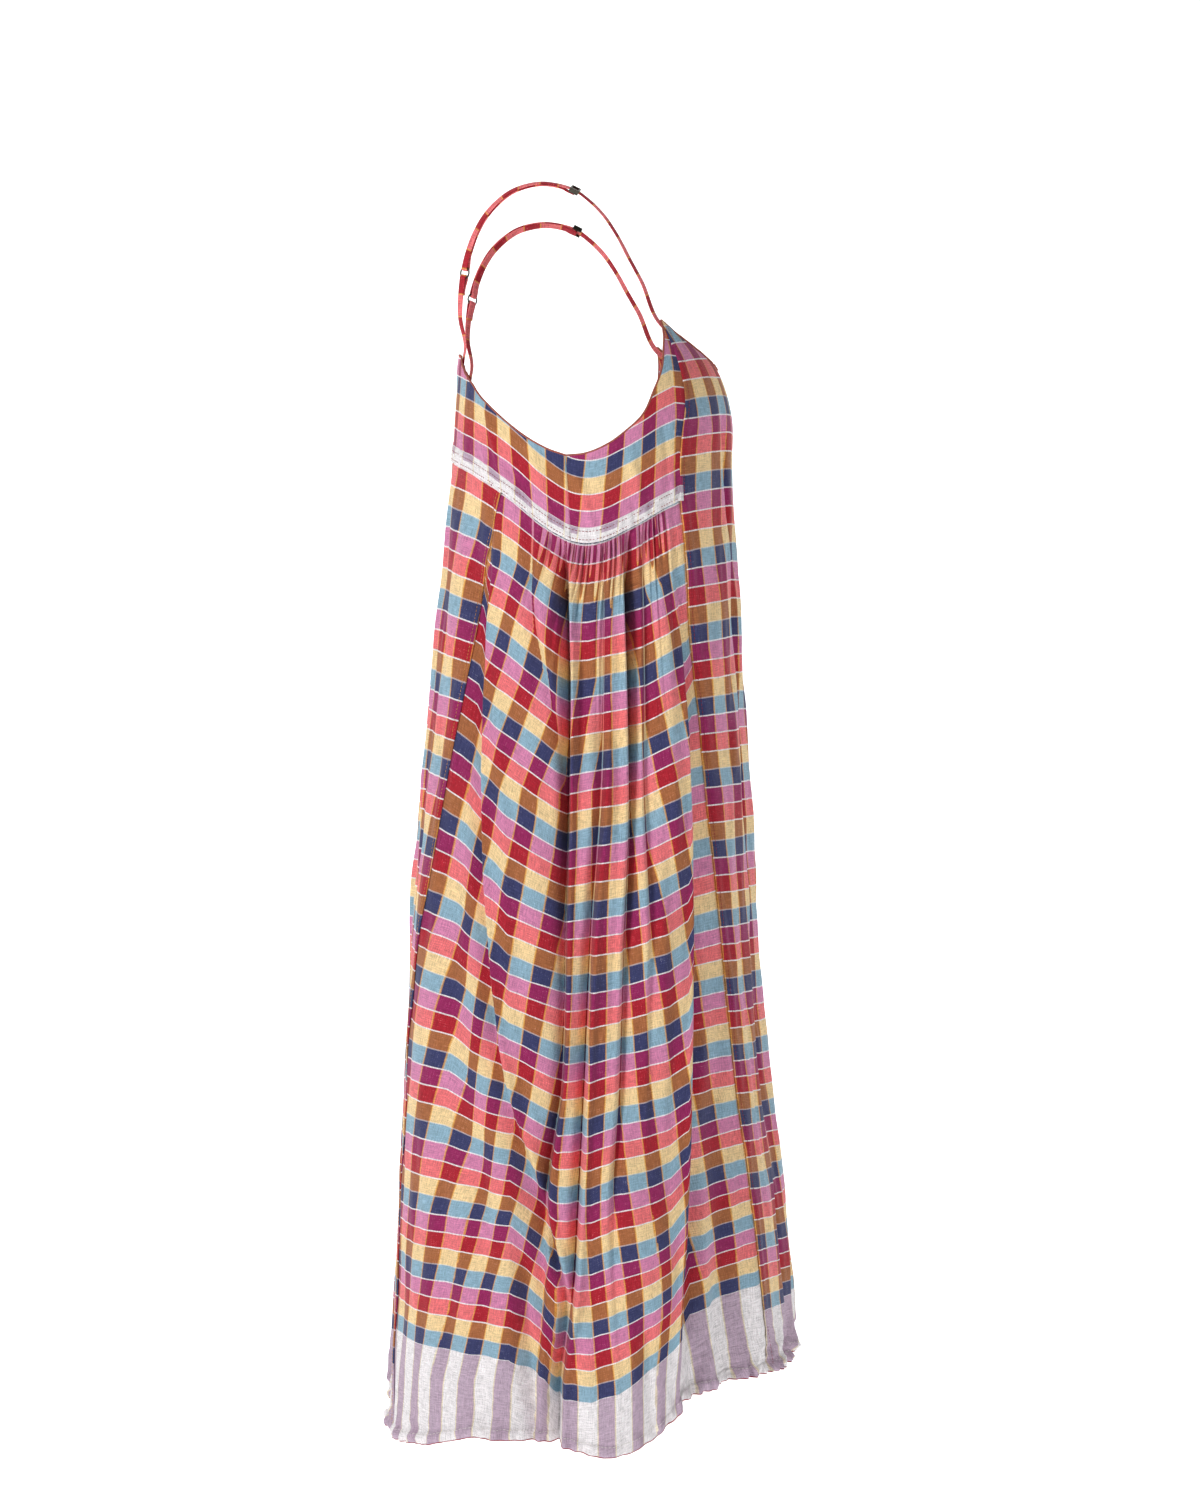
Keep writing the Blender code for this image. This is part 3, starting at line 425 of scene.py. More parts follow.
princess_yoke = curve(np.concatenate((TIP, side_points(PRINCESS_YOKE), YOKE_FRONT_CORNER)))
princess_skirt = curve(
    np.concatenate((YOKE_FRONT_CORNER, side_points(PRINCESS_SKIRT), HEM_FRONT_CORNER))
)
armhole_front = curve(np.concatenate((TIP, side_points(ARMHOLE_FRONT), ARM_CORNER)))
armhole_back = curve(np.concatenate((ARM_CORNER, side_points(ARMHOLE_BACK), STRAP_CORNER)))
side_seam = curve(np.concatenate((ARM_CORNER, side_points(SIDE_SEAM[1:]), YOKE_SIDE_CORNER)))
back_seam = curve(np.concatenate((YOKE_BACK_CORNER, side_points(BACK_SEAM), HEM_BACK_CORNER)))
neckline = curve(centre_points(NECKLINE, False))
back_top = curve(centre_points(BACK_TOP, True))


def along_line(line, start, end):
    def at(part):
        turn = start + (end - start) * part
        return np.stack((turn, line(turn)), axis=-1)

    return at


def flipped(edge, about=0.0):
    """The same edge on the left half."""
    return lambda part: edge(part) * (-1.0, 1.0) + (2.0 * about, 0.0)


def backward(edge):
    return lambda part: edge(1.0 - part)


def joined(edges, shares):
    """Edges end to end, each on its share of 0..1."""
    ends = np.cumsum(shares) / np.sum(shares)
    starts = np.concatenate(([0.0], ends[:-1]))

    def at(part):
        part = np.asarray(part, float)
        points = np.zeros(part.shape + (2,))
        for edge, start, end in zip(edges, starts, ends):
            here = (part >= start - 1e-9) & (part <= end + 1e-9)
            local = np.clip((part - start) / (end - start), 0.0, 1.0)
            points = np.where(here[..., None], edge(local), points)
        return points

    return at


def patch(top, bottom, left, right):
    """Coons patch between four edges: function from (across, down) to (turn, height)."""

    def at(across, down):
        s, t = across[..., None], down[..., None]
        corners = (
            (1 - s) * (1 - t) * left(np.zeros(1)) + s * (1 - t) * right(np.zeros(1))
            + (1 - s) * t * left(np.ones(1)) + s * t * right(np.ones(1))
        )
        level = (1 - t) * top(across) + t * bottom(across)
        return level + (1 - s) * left(down) + s * right(down) - corners

    return at


def behind_line(line):
    return lambda turn: line(math.pi - np.abs(turn - math.pi))


def turn_of_place(place_mm, height_mm, side):
    """Turn of a place along Y on a side, or across the front or back, plus on the right half."""
    place = np.array(place_mm, float) * MM
    height = np.array(height_mm, float) * MM
    if side in ("right", "left"):
        turn = turn_at_depth(place, height)
        return -turn if side == "left" else turn
    turn = turn_at_width(np.abs(place), height, side == "back")
    mirror = 2 * math.pi - turn if side == "back" else -turn
    return np.where(place < 0, mirror, turn)


def wrapped(angle):
    return (angle + math.pi) % (2 * math.pi) - math.pi


def large_folds():
    found = []
    for side, folds in (
        ("right", RIGHT_FOLDS), ("left", LEFT_FOLDS), ("front", FRONT_FOLDS), ("back", BACK_FOLDS),
    ):
        for places, rises, top_width, hem_width in folds:
            turns = turn_of_place(places, FOLD_HEIGHTS, side)
            found.append((turns, np.array(rises, float) * MM, top_width * MM, hem_width * MM))
    return found


FOLDS = large_folds()
LEVEL_HEIGHTS = np.array(LEVELS[::-1], float) * MM
LINE_TURNS = [turn_of_place(line[0], LEVELS, "right")[::-1] for line in WARP_LINES]


def below_yoke(turn, height):
    right_turn = np.abs(wrapped(turn))
    return yoke_height(np.maximum(right_turn, YOKE_TOP_TURN)) - height


def fold_rise(turn, height):
    """Sum of Gaussian ridges and troughs along the large folds, fading in below the yoke."""
    heights = np.array(FOLD_HEIGHTS[::-1], float) * MM
    total = np.zeros_like(turn)
    radius = form_radius(turn, height)
    share = np.clip((heights[-1] - height) / (heights[-1] - heights[0]), 0.0, 1.0)
    for turns, rises, top_width, hem_width in FOLDS:
        centre = smooth(heights, turns[::-1], height)
        rise = smooth(heights, rises[::-1], height)
        away = wrapped(turn - centre) * radius / (top_width + (hem_width - top_width) * share)
        total += rise * np.exp(-away ** 2)
    return total * ease(below_yoke(turn, height) / FOLD_START)


def sharp_fold_rise(turn, height):
    """Uneven troughs at the crease lines, exp(-|away/reach|^1.7): steep on one side and easy on the
    other, with a raised edge beside each."""
    radius = form_radius(turn, height)
    total = np.zeros_like(turn)
    for line, depths, behind, ahead, edge, edge_place in SHARP_FOLDS:
        centre = smooth(LEVEL_HEIGHTS, LINE_TURNS[line], height)
        depth = smooth(LEVEL_HEIGHTS, np.array(depths[::-1], float), height) * MM
        away = wrapped(turn - centre) * radius / MM
        reach = np.where(away > 0, behind, ahead)
        total -= depth * np.exp(-np.abs(away / reach) ** 1.7)
        total += edge * MM * (depth / (5 * MM)) * np.exp(-((away + edge_place) / 4.0) ** 2)
    return total * ease(below_yoke(turn, height) / SHARP_FOLD_START)


def crease_rise(turn, height):
    """Uneven Gaussian ridges along the listed creases, fading at both ends."""
    radius = form_radius(turn, height)
    total = np.zeros_like(turn)
    for side, (top, foot), places, rise, behind, ahead in CREASES:
        heights = np.linspace(foot, top, len(places))
        turns = np.unwrap(turn_of_place(places[::-1], heights, side))
        centre = smooth(heights * MM, turns, height)
        away = wrapped(turn - centre) * radius / MM
        length = (top - foot) * MM
        part = (top * MM - height) / length
        fade = ease(part / 0.3) * ease((1.0 - part) / (0.3 if foot > -1020 else 0.02))
        shape = np.exp(-(away / np.where(away > 0, behind, ahead)) ** 2)
        total += CREASE_STRENGTH * rise * MM * fade * shape
    return total


def rumple(turn, height, count, across_mm, upright_mm, seed):
    """Sum of count sine waves with wavelengths between the given limits, worth about one unit."""
    chance = np.random.default_rng(seed)
    total = np.zeros_like(turn)
    place = wrapped(turn) * MEAN_RADIUS * 1.2
    for _ in range(count):
        wide = chance.uniform(*across_mm) * MM * chance.choice((-1, 1))
        tall = chance.uniform(*upright_mm) * MM
        start = chance.uniform(0, 2 * math.pi)
        total += np.sin(2 * math.pi * (place / wide + height / tall) + start)
    return total / math.sqrt(count / 2)


def relief(turn, height):
    """All that lifts or sinks the cloth from the smooth form, gathers and edges apart."""
    skirt = ease(below_yoke(turn, height) / RUMPLE_START)
    small = rumple(turn, height, 16, (14, 40), (50, 240), 3) * (0.18 + 0.22 * skirt)
    broad = rumple(turn, height, 10, (50, 110), (120, 400), 5) * (0.15 + 0.55 * skirt)
    return (
        fold_rise(turn, height) + sharp_fold_rise(turn, height) + crease_rise(turn, height)
        + (small + broad) * MM
    )


def on_form(turn, height, lift):
    radius = form_radius(turn, height) + lift
    return np.stack((-radius * np.sin(turn), -radius * np.cos(turn), height), axis=-1)


def gather_phase(across):
    """Gather number along the panel, uneven in pitch, with a share that is 0 beyond the gathers."""
    first, last = GATHER_LIMITS
    part = (across - first) / (last - first)
    phase = part * GATHERS + 0.55 * np.sin(9.1 * part + 0.7) + 0.35 * np.sin(23.0 * part + 2.1)
    return phase, ease((across - first) / 0.05) * ease((last - across) / 0.09)


def gather_rise(across, down):
    """Rounded ridges with narrow valleys between, |cos|, uneven in pitch, height and length."""
    phase, inside = gather_phase(across)
    strength = 0.75 + 0.3 * np.sin(5.3 * phase + 1.0) + 0.2 * np.sin(2.1 * phase)
    reach = 0.085 + 0.05 * np.sin(1.7 * phase + 0.4)
    fade = np.exp(-((down / np.maximum(reach, 0.03)) ** 1.3)) * ease((down - 0.0035) / 0.008)
    drift = 0.25 * np.sin(14 * down + 3 * phase) * down * 4
    ridge = np.abs(np.cos(math.pi * (phase + drift))) - 0.72
    return GATHER_HEIGHT * ridge * strength * inside * fade


def hem_roll(turn, height):
    """The rolled hem: a half round of doubled cloth, puckered and waved by its stitching."""
    above = height - hem_height(np.abs(wrapped(turn)))

    def near(reach_mm):
        return np.exp(-((above / (reach_mm * MM)) ** 2))

    pucker = rumple(turn, height, 12, (7, 16), (20, 90), 11)
    round_part = np.sqrt(np.clip(1 - ((above - 4.0 * MM) / (4.8 * MM)) ** 2, 0, 1))
    wave = rumple(turn, height, 8, (22, 48), (60, 200), 13) * near(36)
    level = rumple(turn, height, 10, (30, 90), (9, 16), 19) * near(44)
    rolled = 2.1 * round_part * (1 + 0.3 * pucker)
    return (rolled + 1.2 * pucker * near(16) + 1.6 * wave + 0.45 * level) * MM


def grid_faces(rows, columns, flip):
    """Quads of a grid of rows by columns, wound outward."""
    index = np.arange(rows * columns).reshape(rows, columns)
    corners = (index[:-1, :-1], index[:-1, 1:], index[1:, 1:], index[1:, :-1])
    faces = np.stack([corner.ravel() for corner in corners], axis=1)
    return faces[:, ::-1] if flip else faces


def mesh_piece(name, points, faces, finish, uv=None):
    """A smooth mesh object from arrays of points and faces, with a thread map if one is given."""
    mesh = bpy.data.meshes.new(name)
    faces = faces.tolist() if isinstance(faces, np.ndarray) else faces
    mesh.from_pydata(np.asarray(points, float).reshape(-1, 3).tolist(), [], faces)
    mesh.shade_smooth()
    if uv is not None:
        layer = mesh.uv_layers.new(name="threads")
        corner = np.zeros(len(mesh.loops), int)
        mesh.loops.foreach_get("vertex_index", corner)
        layer.data.foreach_set("uv", np.asarray(uv, np.float32).reshape(-1, 2)[corner].ravel())
    mesh.materials.append(finish)
    thing = bpy.data.objects.new(name, mesh)
    bpy.context.scene.collection.objects.link(thing)
    return thing


def dressed(thing, node):
    """Puts a piece in the place of its solid."""
    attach(thing, "root")
    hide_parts(node)
    return thing


def run_under(turn, height, across, down, laps):
    """Carries a piece on past its seams, under its neighbour: laps are top, foot, start and end."""
    top, foot, start, end = (lap * MM for lap in laps)
    height = height + top * np.clip(1 - down / 0.012, 0, 1)
    height = height - foot * np.clip((down - 0.988) / 0.012, 0, 1)
    radius = form_radius(turn, height)
    shift = end * np.clip((across - 0.985) / 0.015, 0, 1)
    shift = shift - start * np.clip(1 - across / 0.015, 0, 1)
    return turn + shift / radius, height


def cloth_piece(name, node, slot, place, columns, rows, lift, threads, finish, mirrored, laps):
    """One cloth panel as a thin shell: place gives turn and height, lift its own rise beside the
    relief, threads its map, and laps how far it runs under its neighbours."""
    across, down = np.meshgrid(columns, rows)
    spot = place(across, down)
    turn, height = run_under(spot[..., 0], spot[..., 1], across, down, laps)
    if mirrored:
        turn = -turn
    points = on_form(turn, height, relief(turn, height) + lift(across, down, turn, height))
    uv = threads(across, down, turn, height, points)
    faces = grid_faces(len(rows), len(columns), mirrored)
    thing = mesh_piece(name, points, faces, finish, np.stack(uv, axis=-1))
    wall = thing.modifiers.new("wall", "SOLIDIFY")
    wall.thickness = CLOTH
    wall.offset = -1.0
    return dressed(thing, node)


def even(count):
    return np.linspace(0.0, 1.0, count + 1)


def hem_rows(count, power=1.0):
    """Row places from top to hem, closer at the top by the power and again in the rolled hem."""
    return np.concatenate(
        (even(count) ** power * HEM_SHARE, np.linspace(HEM_SHARE, 1.0, HEM_ROWS)[1:])
    )


def band_count(fraction, bands, bow):
    """Bands from the top at a fraction of the height, where fraction = k + bow k (1 - k)."""
    fraction = np.clip(fraction, -0.2, 1.15)
    root = np.sqrt(np.maximum((1 + bow) ** 2 - 4 * bow * fraction, 0))
    return bands * ((1 + bow) - root) / (2 * bow)


def right_side_threads(across, down, turn, height, points):
    """Warp count from the crease lines and weft count from the band heights, between table rows."""
    seam_turns = (back_seam(down)[..., 0], princess_skirt(down)[..., 0])
    knots = [(seam_turns[0] + 0.02, 0.0, 0.0)]
    for turns, (_, behind, ahead) in zip(LINE_TURNS, WARP_LINES):
        counts = (np.interp(height, LEVEL_HEIGHTS, side[::-1]) for side in (behind, ahead))
        knots.append((smooth(LEVEL_HEIGHTS, turns, height), *counts))
    knots.append((seam_turns[1], SIDE_PAIRS, SIDE_PAIRS))
    width = 1.1 * MM / form_radius(turn, height)
    warp = np.zeros_like(turn)
    for (start, _, first), (end, last, _) in zip(knots, knots[1:]):
        span = np.maximum(start - end, 1e-4)
        part = np.clip((start - turn) / span, 0.0, 1.0)
        inside = (turn <= start) & (turn > end)
        warp = np.where(inside, first + (last - first) * part, warp)
    warp = np.where(turn <= knots[-1][0], SIDE_PAIRS, warp)
    phase, inside = gather_phase(across)
    warp += 0.4 * np.sin(2 * math.pi * phase) * inside * np.exp(-((down / 0.05) ** 2))
    for centre, behind, ahead in knots[1:-1]:
        away = (centre - turn) / width
        near = np.abs(away) < 1
        warp = np.where(near, behind + (ahead - behind) * ease((away + 1) / 2), warp)

    depth = -form_radius(turn, height) * np.cos(turn) / MM
    share = np.clip((-height / MM - 320) / 700, 0.0, 1.0)
    lines = [top + (foot - top) * share for (top, foot), _ in BAND_HEIGHTS]
    heights = [np.array(line, float) for _, line in BAND_HEIGHTS]
    here = np.zeros(turn.shape + (len(BAND_LINES),)) + heights[0]
    for k in range(len(lines) - 1):
        span = np.maximum(lines[k] - lines[k + 1], 0.5)
        part = np.clip((lines[k] - depth) / span, 0.0, 1.0)[..., None]
        between = heights[k] + (heights[k + 1] - heights[k]) * part
        here = np.where((depth < lines[k])[..., None], between, here)
    top = yoke_height(np.clip(turn, YOKE_TOP_TURN, YOKE_BACK_CORNER[0, 0])) / MM - 1.5
    here[..., 0] = np.minimum(here[..., 0], top - 40)
    ladder = np.concatenate((top[..., None], here), axis=-1)
    bands = (0,) + BAND_LINES
    level = height / MM
    weft = np.where(level > ladder[..., 0], (ladder[..., 0] - level) * MM / BAND, 0.0)
    for k in range(len(bands) - 1):
        span = np.maximum(ladder[..., k] - ladder[..., k + 1], 1.0)
        part = (ladder[..., k] - level) / span
        inside = (part >= 0) & ((part < 1) | (k == len(bands) - 2))
        weft = np.where(inside, bands[k] + (bands[k + 1] - bands[k]) * part, weft)
    below = np.maximum(ladder[..., -1] - level, 0.0)
    weft = np.where(level < ladder[..., -1], SIDE_BANDS + below * MM / BAND, weft)
    return warp, weft


def arc_count(points):
    """Length of cloth from the panel's first column, in stripe pairs, along each row."""
    steps = np.linalg.norm(np.diff(points, axis=1), axis=2)
    return np.concatenate((np.zeros((points.shape[0], 1)), np.cumsum(steps, axis=1)), axis=1) / PAIR


def left_side_threads(across, down, turn, height, points):
    """Warp count by share of the cloth's length across; weft count by share of the height."""
    length = arc_count(points)
    warp = SIDE_PAIRS * (1.0 - length / length[:, -1:])
    right_turn = np.abs(turn)
    top = yoke_height(np.clip(right_turn, YOKE_TOP_TURN, YOKE_BACK_CORNER[0, 0])) - 1.5 * MM
    foot = hem_height(right_turn) + (42 + 12 * ease(down) * np.cos(3 * across)) * MM
    level = height + 5 * MM * np.sin(11 * across + 1) * down * (1 - down)
    return warp, band_count((top - level) / (top - foot), SIDE_BANDS, SKIRT_BOW)


def even_stripes(points):
    """Warp count rising from about 0 at both seams to HALF_PAIRS in the middle. Stripes keep the
    width of the panel's upper third where it is narrower, and widen with the panel below."""
    length = arc_count(points)
    half = length[:, -1:] / 2
    least = np.median(half[: max(2, len(half) // 3)])
    pitch = np.maximum(half, least) / HALF_PAIRS
    return HALF_PAIRS - np.abs(length - half) / pitch


def front_threads(across, down, turn, height, points):
    """Warp count from each princess seam; weft bands bow up in the middle above and down below."""
    warp = even_stripes(points)
    seam = np.where(down < 1 / 3, princess_yoke(np.clip(down * 3, 0, 1))[..., 0], YOKE_TOP_TURN)
    part = np.abs(turn) / np.maximum(seam, 0.5)
    bow = smooth((-1.03, -0.9, -0.70, -0.48, -0.3, -0.14), (-15, -11, -3, 9, 17, 14), height) * MM
    level = height - bow * (1 - np.clip(part, 0, 1) ** 2)
    return warp, band_count((-0.141 - level) / 0.829, FRONT_BANDS, FRONT_BOW)


def back_threads(across, down, turn, height, points):
    """Warp count from each back seam; weft count from 1 at the yoke to 48 at the border."""
    warp = even_stripes(points)
    right_turn = math.pi - np.abs(turn - math.pi)
    top = yoke_height(right_turn) - 1.0 * MM
    foot = hem_height(right_turn) + 58 * MM
    return warp, 1 + band_count((top - height) / (top - foot), SIDE_BANDS - 1, SKIRT_BOW)


def yoke_threads(back):
    """Warp count from the stripe tables, leaning with height; weft bands up from the border."""
    depths, counts = YOKE_STRIPES[back]
    knots = turn_at_depth(np.array(depths, float) * MM, np.full(len(depths), -0.27))
    if back:
        far = np.linspace(knots[-1] + 0.1, math.pi, 12)
        steps = np.diff(np.concatenate((knots[-1:], far))) * form_radius(far, np.full(12, -0.25))
        counts = np.concatenate((counts, counts[-1] - np.cumsum(steps) / (1.1 * PAIR)))
        knots = np.concatenate((knots, far))
    order = np.argsort(knots)

    def threads(across, down, turn, height, points):
        right_turn = math.pi - np.abs(np.abs(turn) - math.pi)
        line = yoke_height(np.maximum(right_turn, YOKE_TOP_TURN))
        above = height - line
        lean = 0.09
        if back:
            lean = -0.16 * np.clip((right_turn - 1.70) / 0.3, 0, 1)
            lean = lean * np.clip((2.7 - right_turn) / 0.5, 0, 1)
        foot = right_turn + lean * above / form_radius(right_turn, height)
        warp = np.interp(foot, knots[order], np.asarray(counts)[order])
        slope = np.clip((right_turn - 1.7) / 0.5, 0.0, 1.0)
        weft = (above - (12.6 + 1.4 * slope) * MM) / ((14.5 + 1.1 * slope) * MM)
        return warp, weft

    return threads


def srgb(red, green, blue):
    """Linear colour from an 8-bit sRGB one."""
    value = np.array((red, green, blue)) / 255.0
    linear = np.where(value <= 0.04045, value / 12.92, ((value + 0.055) / 1.055) ** 2.4)
    return (*[float(x) for x in linear], 1.0)


# A colour Mix node's factor and its two colours, by number
COLOUR_MIX_INPUTS = (0, 6, 7)


class Wiring:
    """Short calls for the nodes of one tree."""

    def __init__(self, tree):
        self.tree = tree

    def node(self, kind, **settings):
        made = self.tree.nodes.new("ShaderNode" + kind)
        for key, value in settings.items():
            setattr(made, key, value)
        return made

    def feed(self, socket, value):
        if isinstance(value, bpy.types.NodeSocket):
            self.tree.links.new(value, socket)
        else:
            socket.default_value = value

    def math(self, operation, *values, clamp=False):
        made = self.node("Math", operation=operation, use_clamp=clamp)
        for socket, value in zip(made.inputs, values):
            self.feed(socket, value)
        return made.outputs[0]

    def plus(self, first, second):
        return self.math("ADD", first, second)

    def minus(self, first, second):
        return self.math("SUBTRACT", first, second)

    def times(self, first, second):
        return self.math("MULTIPLY", first, second)

    def mix(self, factor, first, second):
        made = self.node("Mix", data_type="RGBA", blend_type="MIX")
        for number, value in zip(COLOUR_MIX_INPUTS, (factor, first, second)):
            self.feed(made.inputs[number], value)
        return made.outputs[2]

    def vector(self, x, y, z=0.0):
        made = self.node("CombineXYZ")
        for socket, value in zip(made.inputs, (x, y, z)):
            self.feed(socket, value)
        return made.outputs[0]

    def noise(self, vector, scale, detail=2.0, rough=0.5):
        made = self.node("TexNoise")
        values = (vector, scale, detail, rough)
        for key, value in zip(("Vector", "Scale", "Detail", "Roughness"), values):
            self.feed(made.inputs[key], value)
        return made.outputs[0]

    def bump(self, height, strength, distance_mm):
        made = self.node("Bump")
        values = (strength, distance_mm * MM, height)
        for key, value in zip(("Strength", "Distance", "Height"), values):
            self.feed(made.inputs[key], value)
        return made.outputs[0]

    def stripes(self, place, colours):
        """Even flat stripes of the given colours over 0..1."""
        made = self.node("ValToRGB")
        made.color_ramp.interpolation = "CONSTANT"
        stops = made.color_ramp.elements
        while len(stops) < len(colours):
            stops.new(0.5)
        for k, colour in enumerate(colours):
            stops[k].position = k / len(colours)
            stops[k].color = colour
        self.feed(made.inputs[0], place)
        return made.outputs[0]


DARK_ROWS = (srgb(152, 28, 92), srgb(176, 12, 38), srgb(170, 102, 58), srgb(58, 62, 106))
LIGHT_ROWS = (srgb(214, 130, 172), srgb(238, 112, 116), srgb(244, 212, 156), srgb(142, 178, 198))
WHITE_THREAD = srgb(243, 238, 240)
MAUVE = srgb(192, 168, 188)
YELLOW = srgb(238, 170, 62)
PALE_GOLD = srgb(236, 222, 178)
# Half widths of the yellow warp lines, in stripe pairs, and of the white weft lines, in bands
WARP_LINE_HALF = 0.019
WEFT_LINE_HALF = 0.038


def handloom_group():
    """The check: four weft colours over light and dark warp stripes, with fine white weft lines,
    yellow warp lines, a white border beyond the first and last bands, slubs and crinkles."""
    tree = bpy.data.node_groups.new("handloom check", "ShaderNodeTree")
    for way, kind, names in (
        ("INPUT", "Vector", ("Threads",)),
        ("INPUT", "Float", ("First Band", "Last Band", "Slubs", "Crinkle")),
        ("OUTPUT", "Color", ("Color",)), ("OUTPUT", "Float", ("Roughness", "Height")),
    ):
        for name in names:
            tree.interface.new_socket(name, in_out=way, socket_type="NodeSocket" + kind)
    w = Wiring(tree)
    given = tree.nodes.new("NodeGroupInput").outputs
    out = tree.nodes.new("NodeGroupOutput").inputs
    split = w.node("SeparateXYZ")
    w.feed(split.inputs[0], given["Threads"])
    u, v = split.outputs[0], split.outputs[1]

    # Threads that wander, and stripes with ragged edges
    sway = w.noise(w.vector(u, w.times(v, 0.4)), 0.9, 3.0)
    drift = w.noise(w.vector(w.times(u, 0.9), w.times(v, 0.5), 7.0), 1.1, 3.0)
    u = w.plus(u, w.times(w.minus(sway, 0.5), 0.07))
    v = w.plus(v, w.times(w.minus(drift, 0.5), 0.16))
    warp_mm, weft_mm = w.times(u, PAIR / MM), w.times(v, BAND / MM)

    def fine_noise(across, upright, slice_at, detail, rough):
        place = w.vector(w.times(warp_mm, across), w.times(weft_mm, upright), slice_at)
        return w.noise(place, 1.0, detail, rough)

    ragged = w.noise(w.vector(warp_mm, weft_mm, 3.0), 1.6, 2.0)
    ragged = w.times(w.minus(ragged, 0.5), 0.035)
    stripe = w.math("FRACT", w.plus(u, ragged))
    row = w.plus(v, ragged)
    dark = w.math("LESS_THAN", stripe, DARK_SHARE)

    # Ground colours, with yellow warp lines and white weft lines, fainter beside the blue rows
    edge = w.math("COMPARE", stripe, DARK_SHARE, WARP_LINE_HALF)
    turned = w.math("FRACT", w.plus(stripe, 0.5))
    edge = w.math("MAXIMUM", edge, w.math("COMPARE", turned, 0.5, WARP_LINE_HALF))
    rows = len(LIGHT_ROWS)
    repeat = w.math("DIVIDE", w.math("FLOORED_MODULO", row, rows), rows)
    ground = w.mix(dark, w.stripes(repeat, LIGHT_ROWS), w.stripes(repeat, DARK_ROWS))
    ground = w.mix(w.times(edge, 0.62), ground, YELLOW)
    line = w.math("COMPARE", w.math("FRACT", w.plus(row, 0.5)), 0.5, WEFT_LINE_HALF)
    blue_edge = w.math("COMPARE", w.math("FLOORED_MODULO", w.plus(row, 0.5), rows), 3.5, 0.5)
    line = w.times(line, w.minus(0.86, w.times(blue_edge, 0.5)))
    ground = w.mix(line, ground, WHITE_THREAD)

    # White border, its mauve stripes held off from its inner edge at the yoke
    foot = w.math("GREATER_THAN", row, w.minus(given["First Band"], 0.42))
    border = w.mix(w.times(dark, foot), WHITE_THREAD, MAUVE)
    border = w.mix(w.times(edge, 0.6), border, PALE_GOLD)
    before = w.math("LESS_THAN", row, given["First Band"])
    outside = w.math("MAXIMUM", before, w.math("GREATER_THAN", row, given["Last Band"]))
    ground = w.mix(outside, ground, border)

    # Slubs along both threads, and pale flecks
    upright = fine_noise(1.3, 0.10, 1.0, 3.0, 0.65)
    level = fine_noise(0.10, 1.3, 5.0, 3.0, 0.65)
    grain = w.noise(w.vector(warp_mm, weft_mm, 9.0), 1.9, 2.0, 0.6)
    slub = w.minus(w.plus(w.plus(upright, level), w.times(grain, 0.8)), 1.4)
    tone = w.node("HueSaturation")
    w.feed(tone.inputs["Value"], w.plus(1.0, w.times(slub, w.times(given["Slubs"], 1.25))))
    w.feed(tone.inputs["Saturation"], 0.97)
    w.feed(tone.inputs["Color"], ground)
    fleck = w.times(w.math("GREATER_THAN", slub, 0.27), w.times(given["Slubs"], 0.2))
    w.feed(out["Color"], w.mix(fleck, tone.outputs[0], WHITE_THREAD))
    w.feed(out["Roughness"], w.plus(0.84, w.times(slub, 0.12)))

    # Height: upright crinkles, level puckers in the border, slubs and weave
    crinkle = fine_noise(0.16, 0.07, 2.0, 4.0, 0.6)
    puckers = fine_noise(0.07, 0.22, 4.0, 4.0, 0.6)
    creased = w.mix(outside, w.vector(crinkle, 0.0), w.vector(w.times(puckers, 3.2), 0.0))
    parts = w.node("SeparateXYZ")
    w.feed(parts.inputs[0], creased)
    weave = w.times(w.math("SINE", w.times(warp_mm, 9.0)), w.math("SINE", w.times(weft_mm, 9.0)))
    height = w.plus(w.times(slub, 0.25), w.times(weave, 0.06))
    w.feed(out["Height"], w.plus(height, w.times(parts.outputs[0], given["Crinkle"])))
    return tree


def material(name):
    made = bpy.data.materials.new(name)
    made.use_nodes = True
    return made, Wiring(made.node_tree), made.node_tree.nodes["Principled BSDF"].inputs


def check_cloth(name, first, last, slubs=1.0, crinkle=1.6):
    """A cotton material that reads the piece's thread map through the check group."""
    made, w, shader = material(name)
    threads = w.node("UVMap", uv_map="threads")
    check = w.node("Group", node_tree=HANDLOOM)
    for key, value in (
        ("Threads", threads.outputs[0]), ("First Band", first), ("Last Band", last),
        ("Slubs", slubs), ("Crinkle", crinkle),
    ):
        w.feed(check.inputs[key], value)
    for key, value in (
        ("Base Color", check.outputs["Color"]), ("Roughness", check.outputs["Roughness"]),
        ("Normal", w.bump(check.outputs["Height"], 0.55, 0.6)), ("Specular IOR Level", 0.18),
        ("Sheen Weight", 0.12), ("Sheen Roughness", 0.5),
    ):
        w.feed(shader[key], value)
    return made


def plain_finish(name, colour, second, scale, roughness, metallic=0.0, bump_mm=0.2):
    """Thread, binding or metal: two tones mixed by a fine noise, with a matching bump."""
    made, w, shader = material(name)
    grain = w.noise(w.node("TexCoord").outputs["Object"], scale, 3.0, 0.6)
    share = w.math("MULTIPLY", w.minus(grain, 0.35), 3.0, clamp=True)
    for key, value in (
        ("Base Color", w.mix(share, colour, second)), ("Metallic", metallic),
        ("Roughness", w.plus(roughness - 0.1, w.times(grain, 0.2))),
        ("Normal", w.bump(grain, 0.5, bump_mm)),
    ):
        w.feed(shader[key], value)
    return made


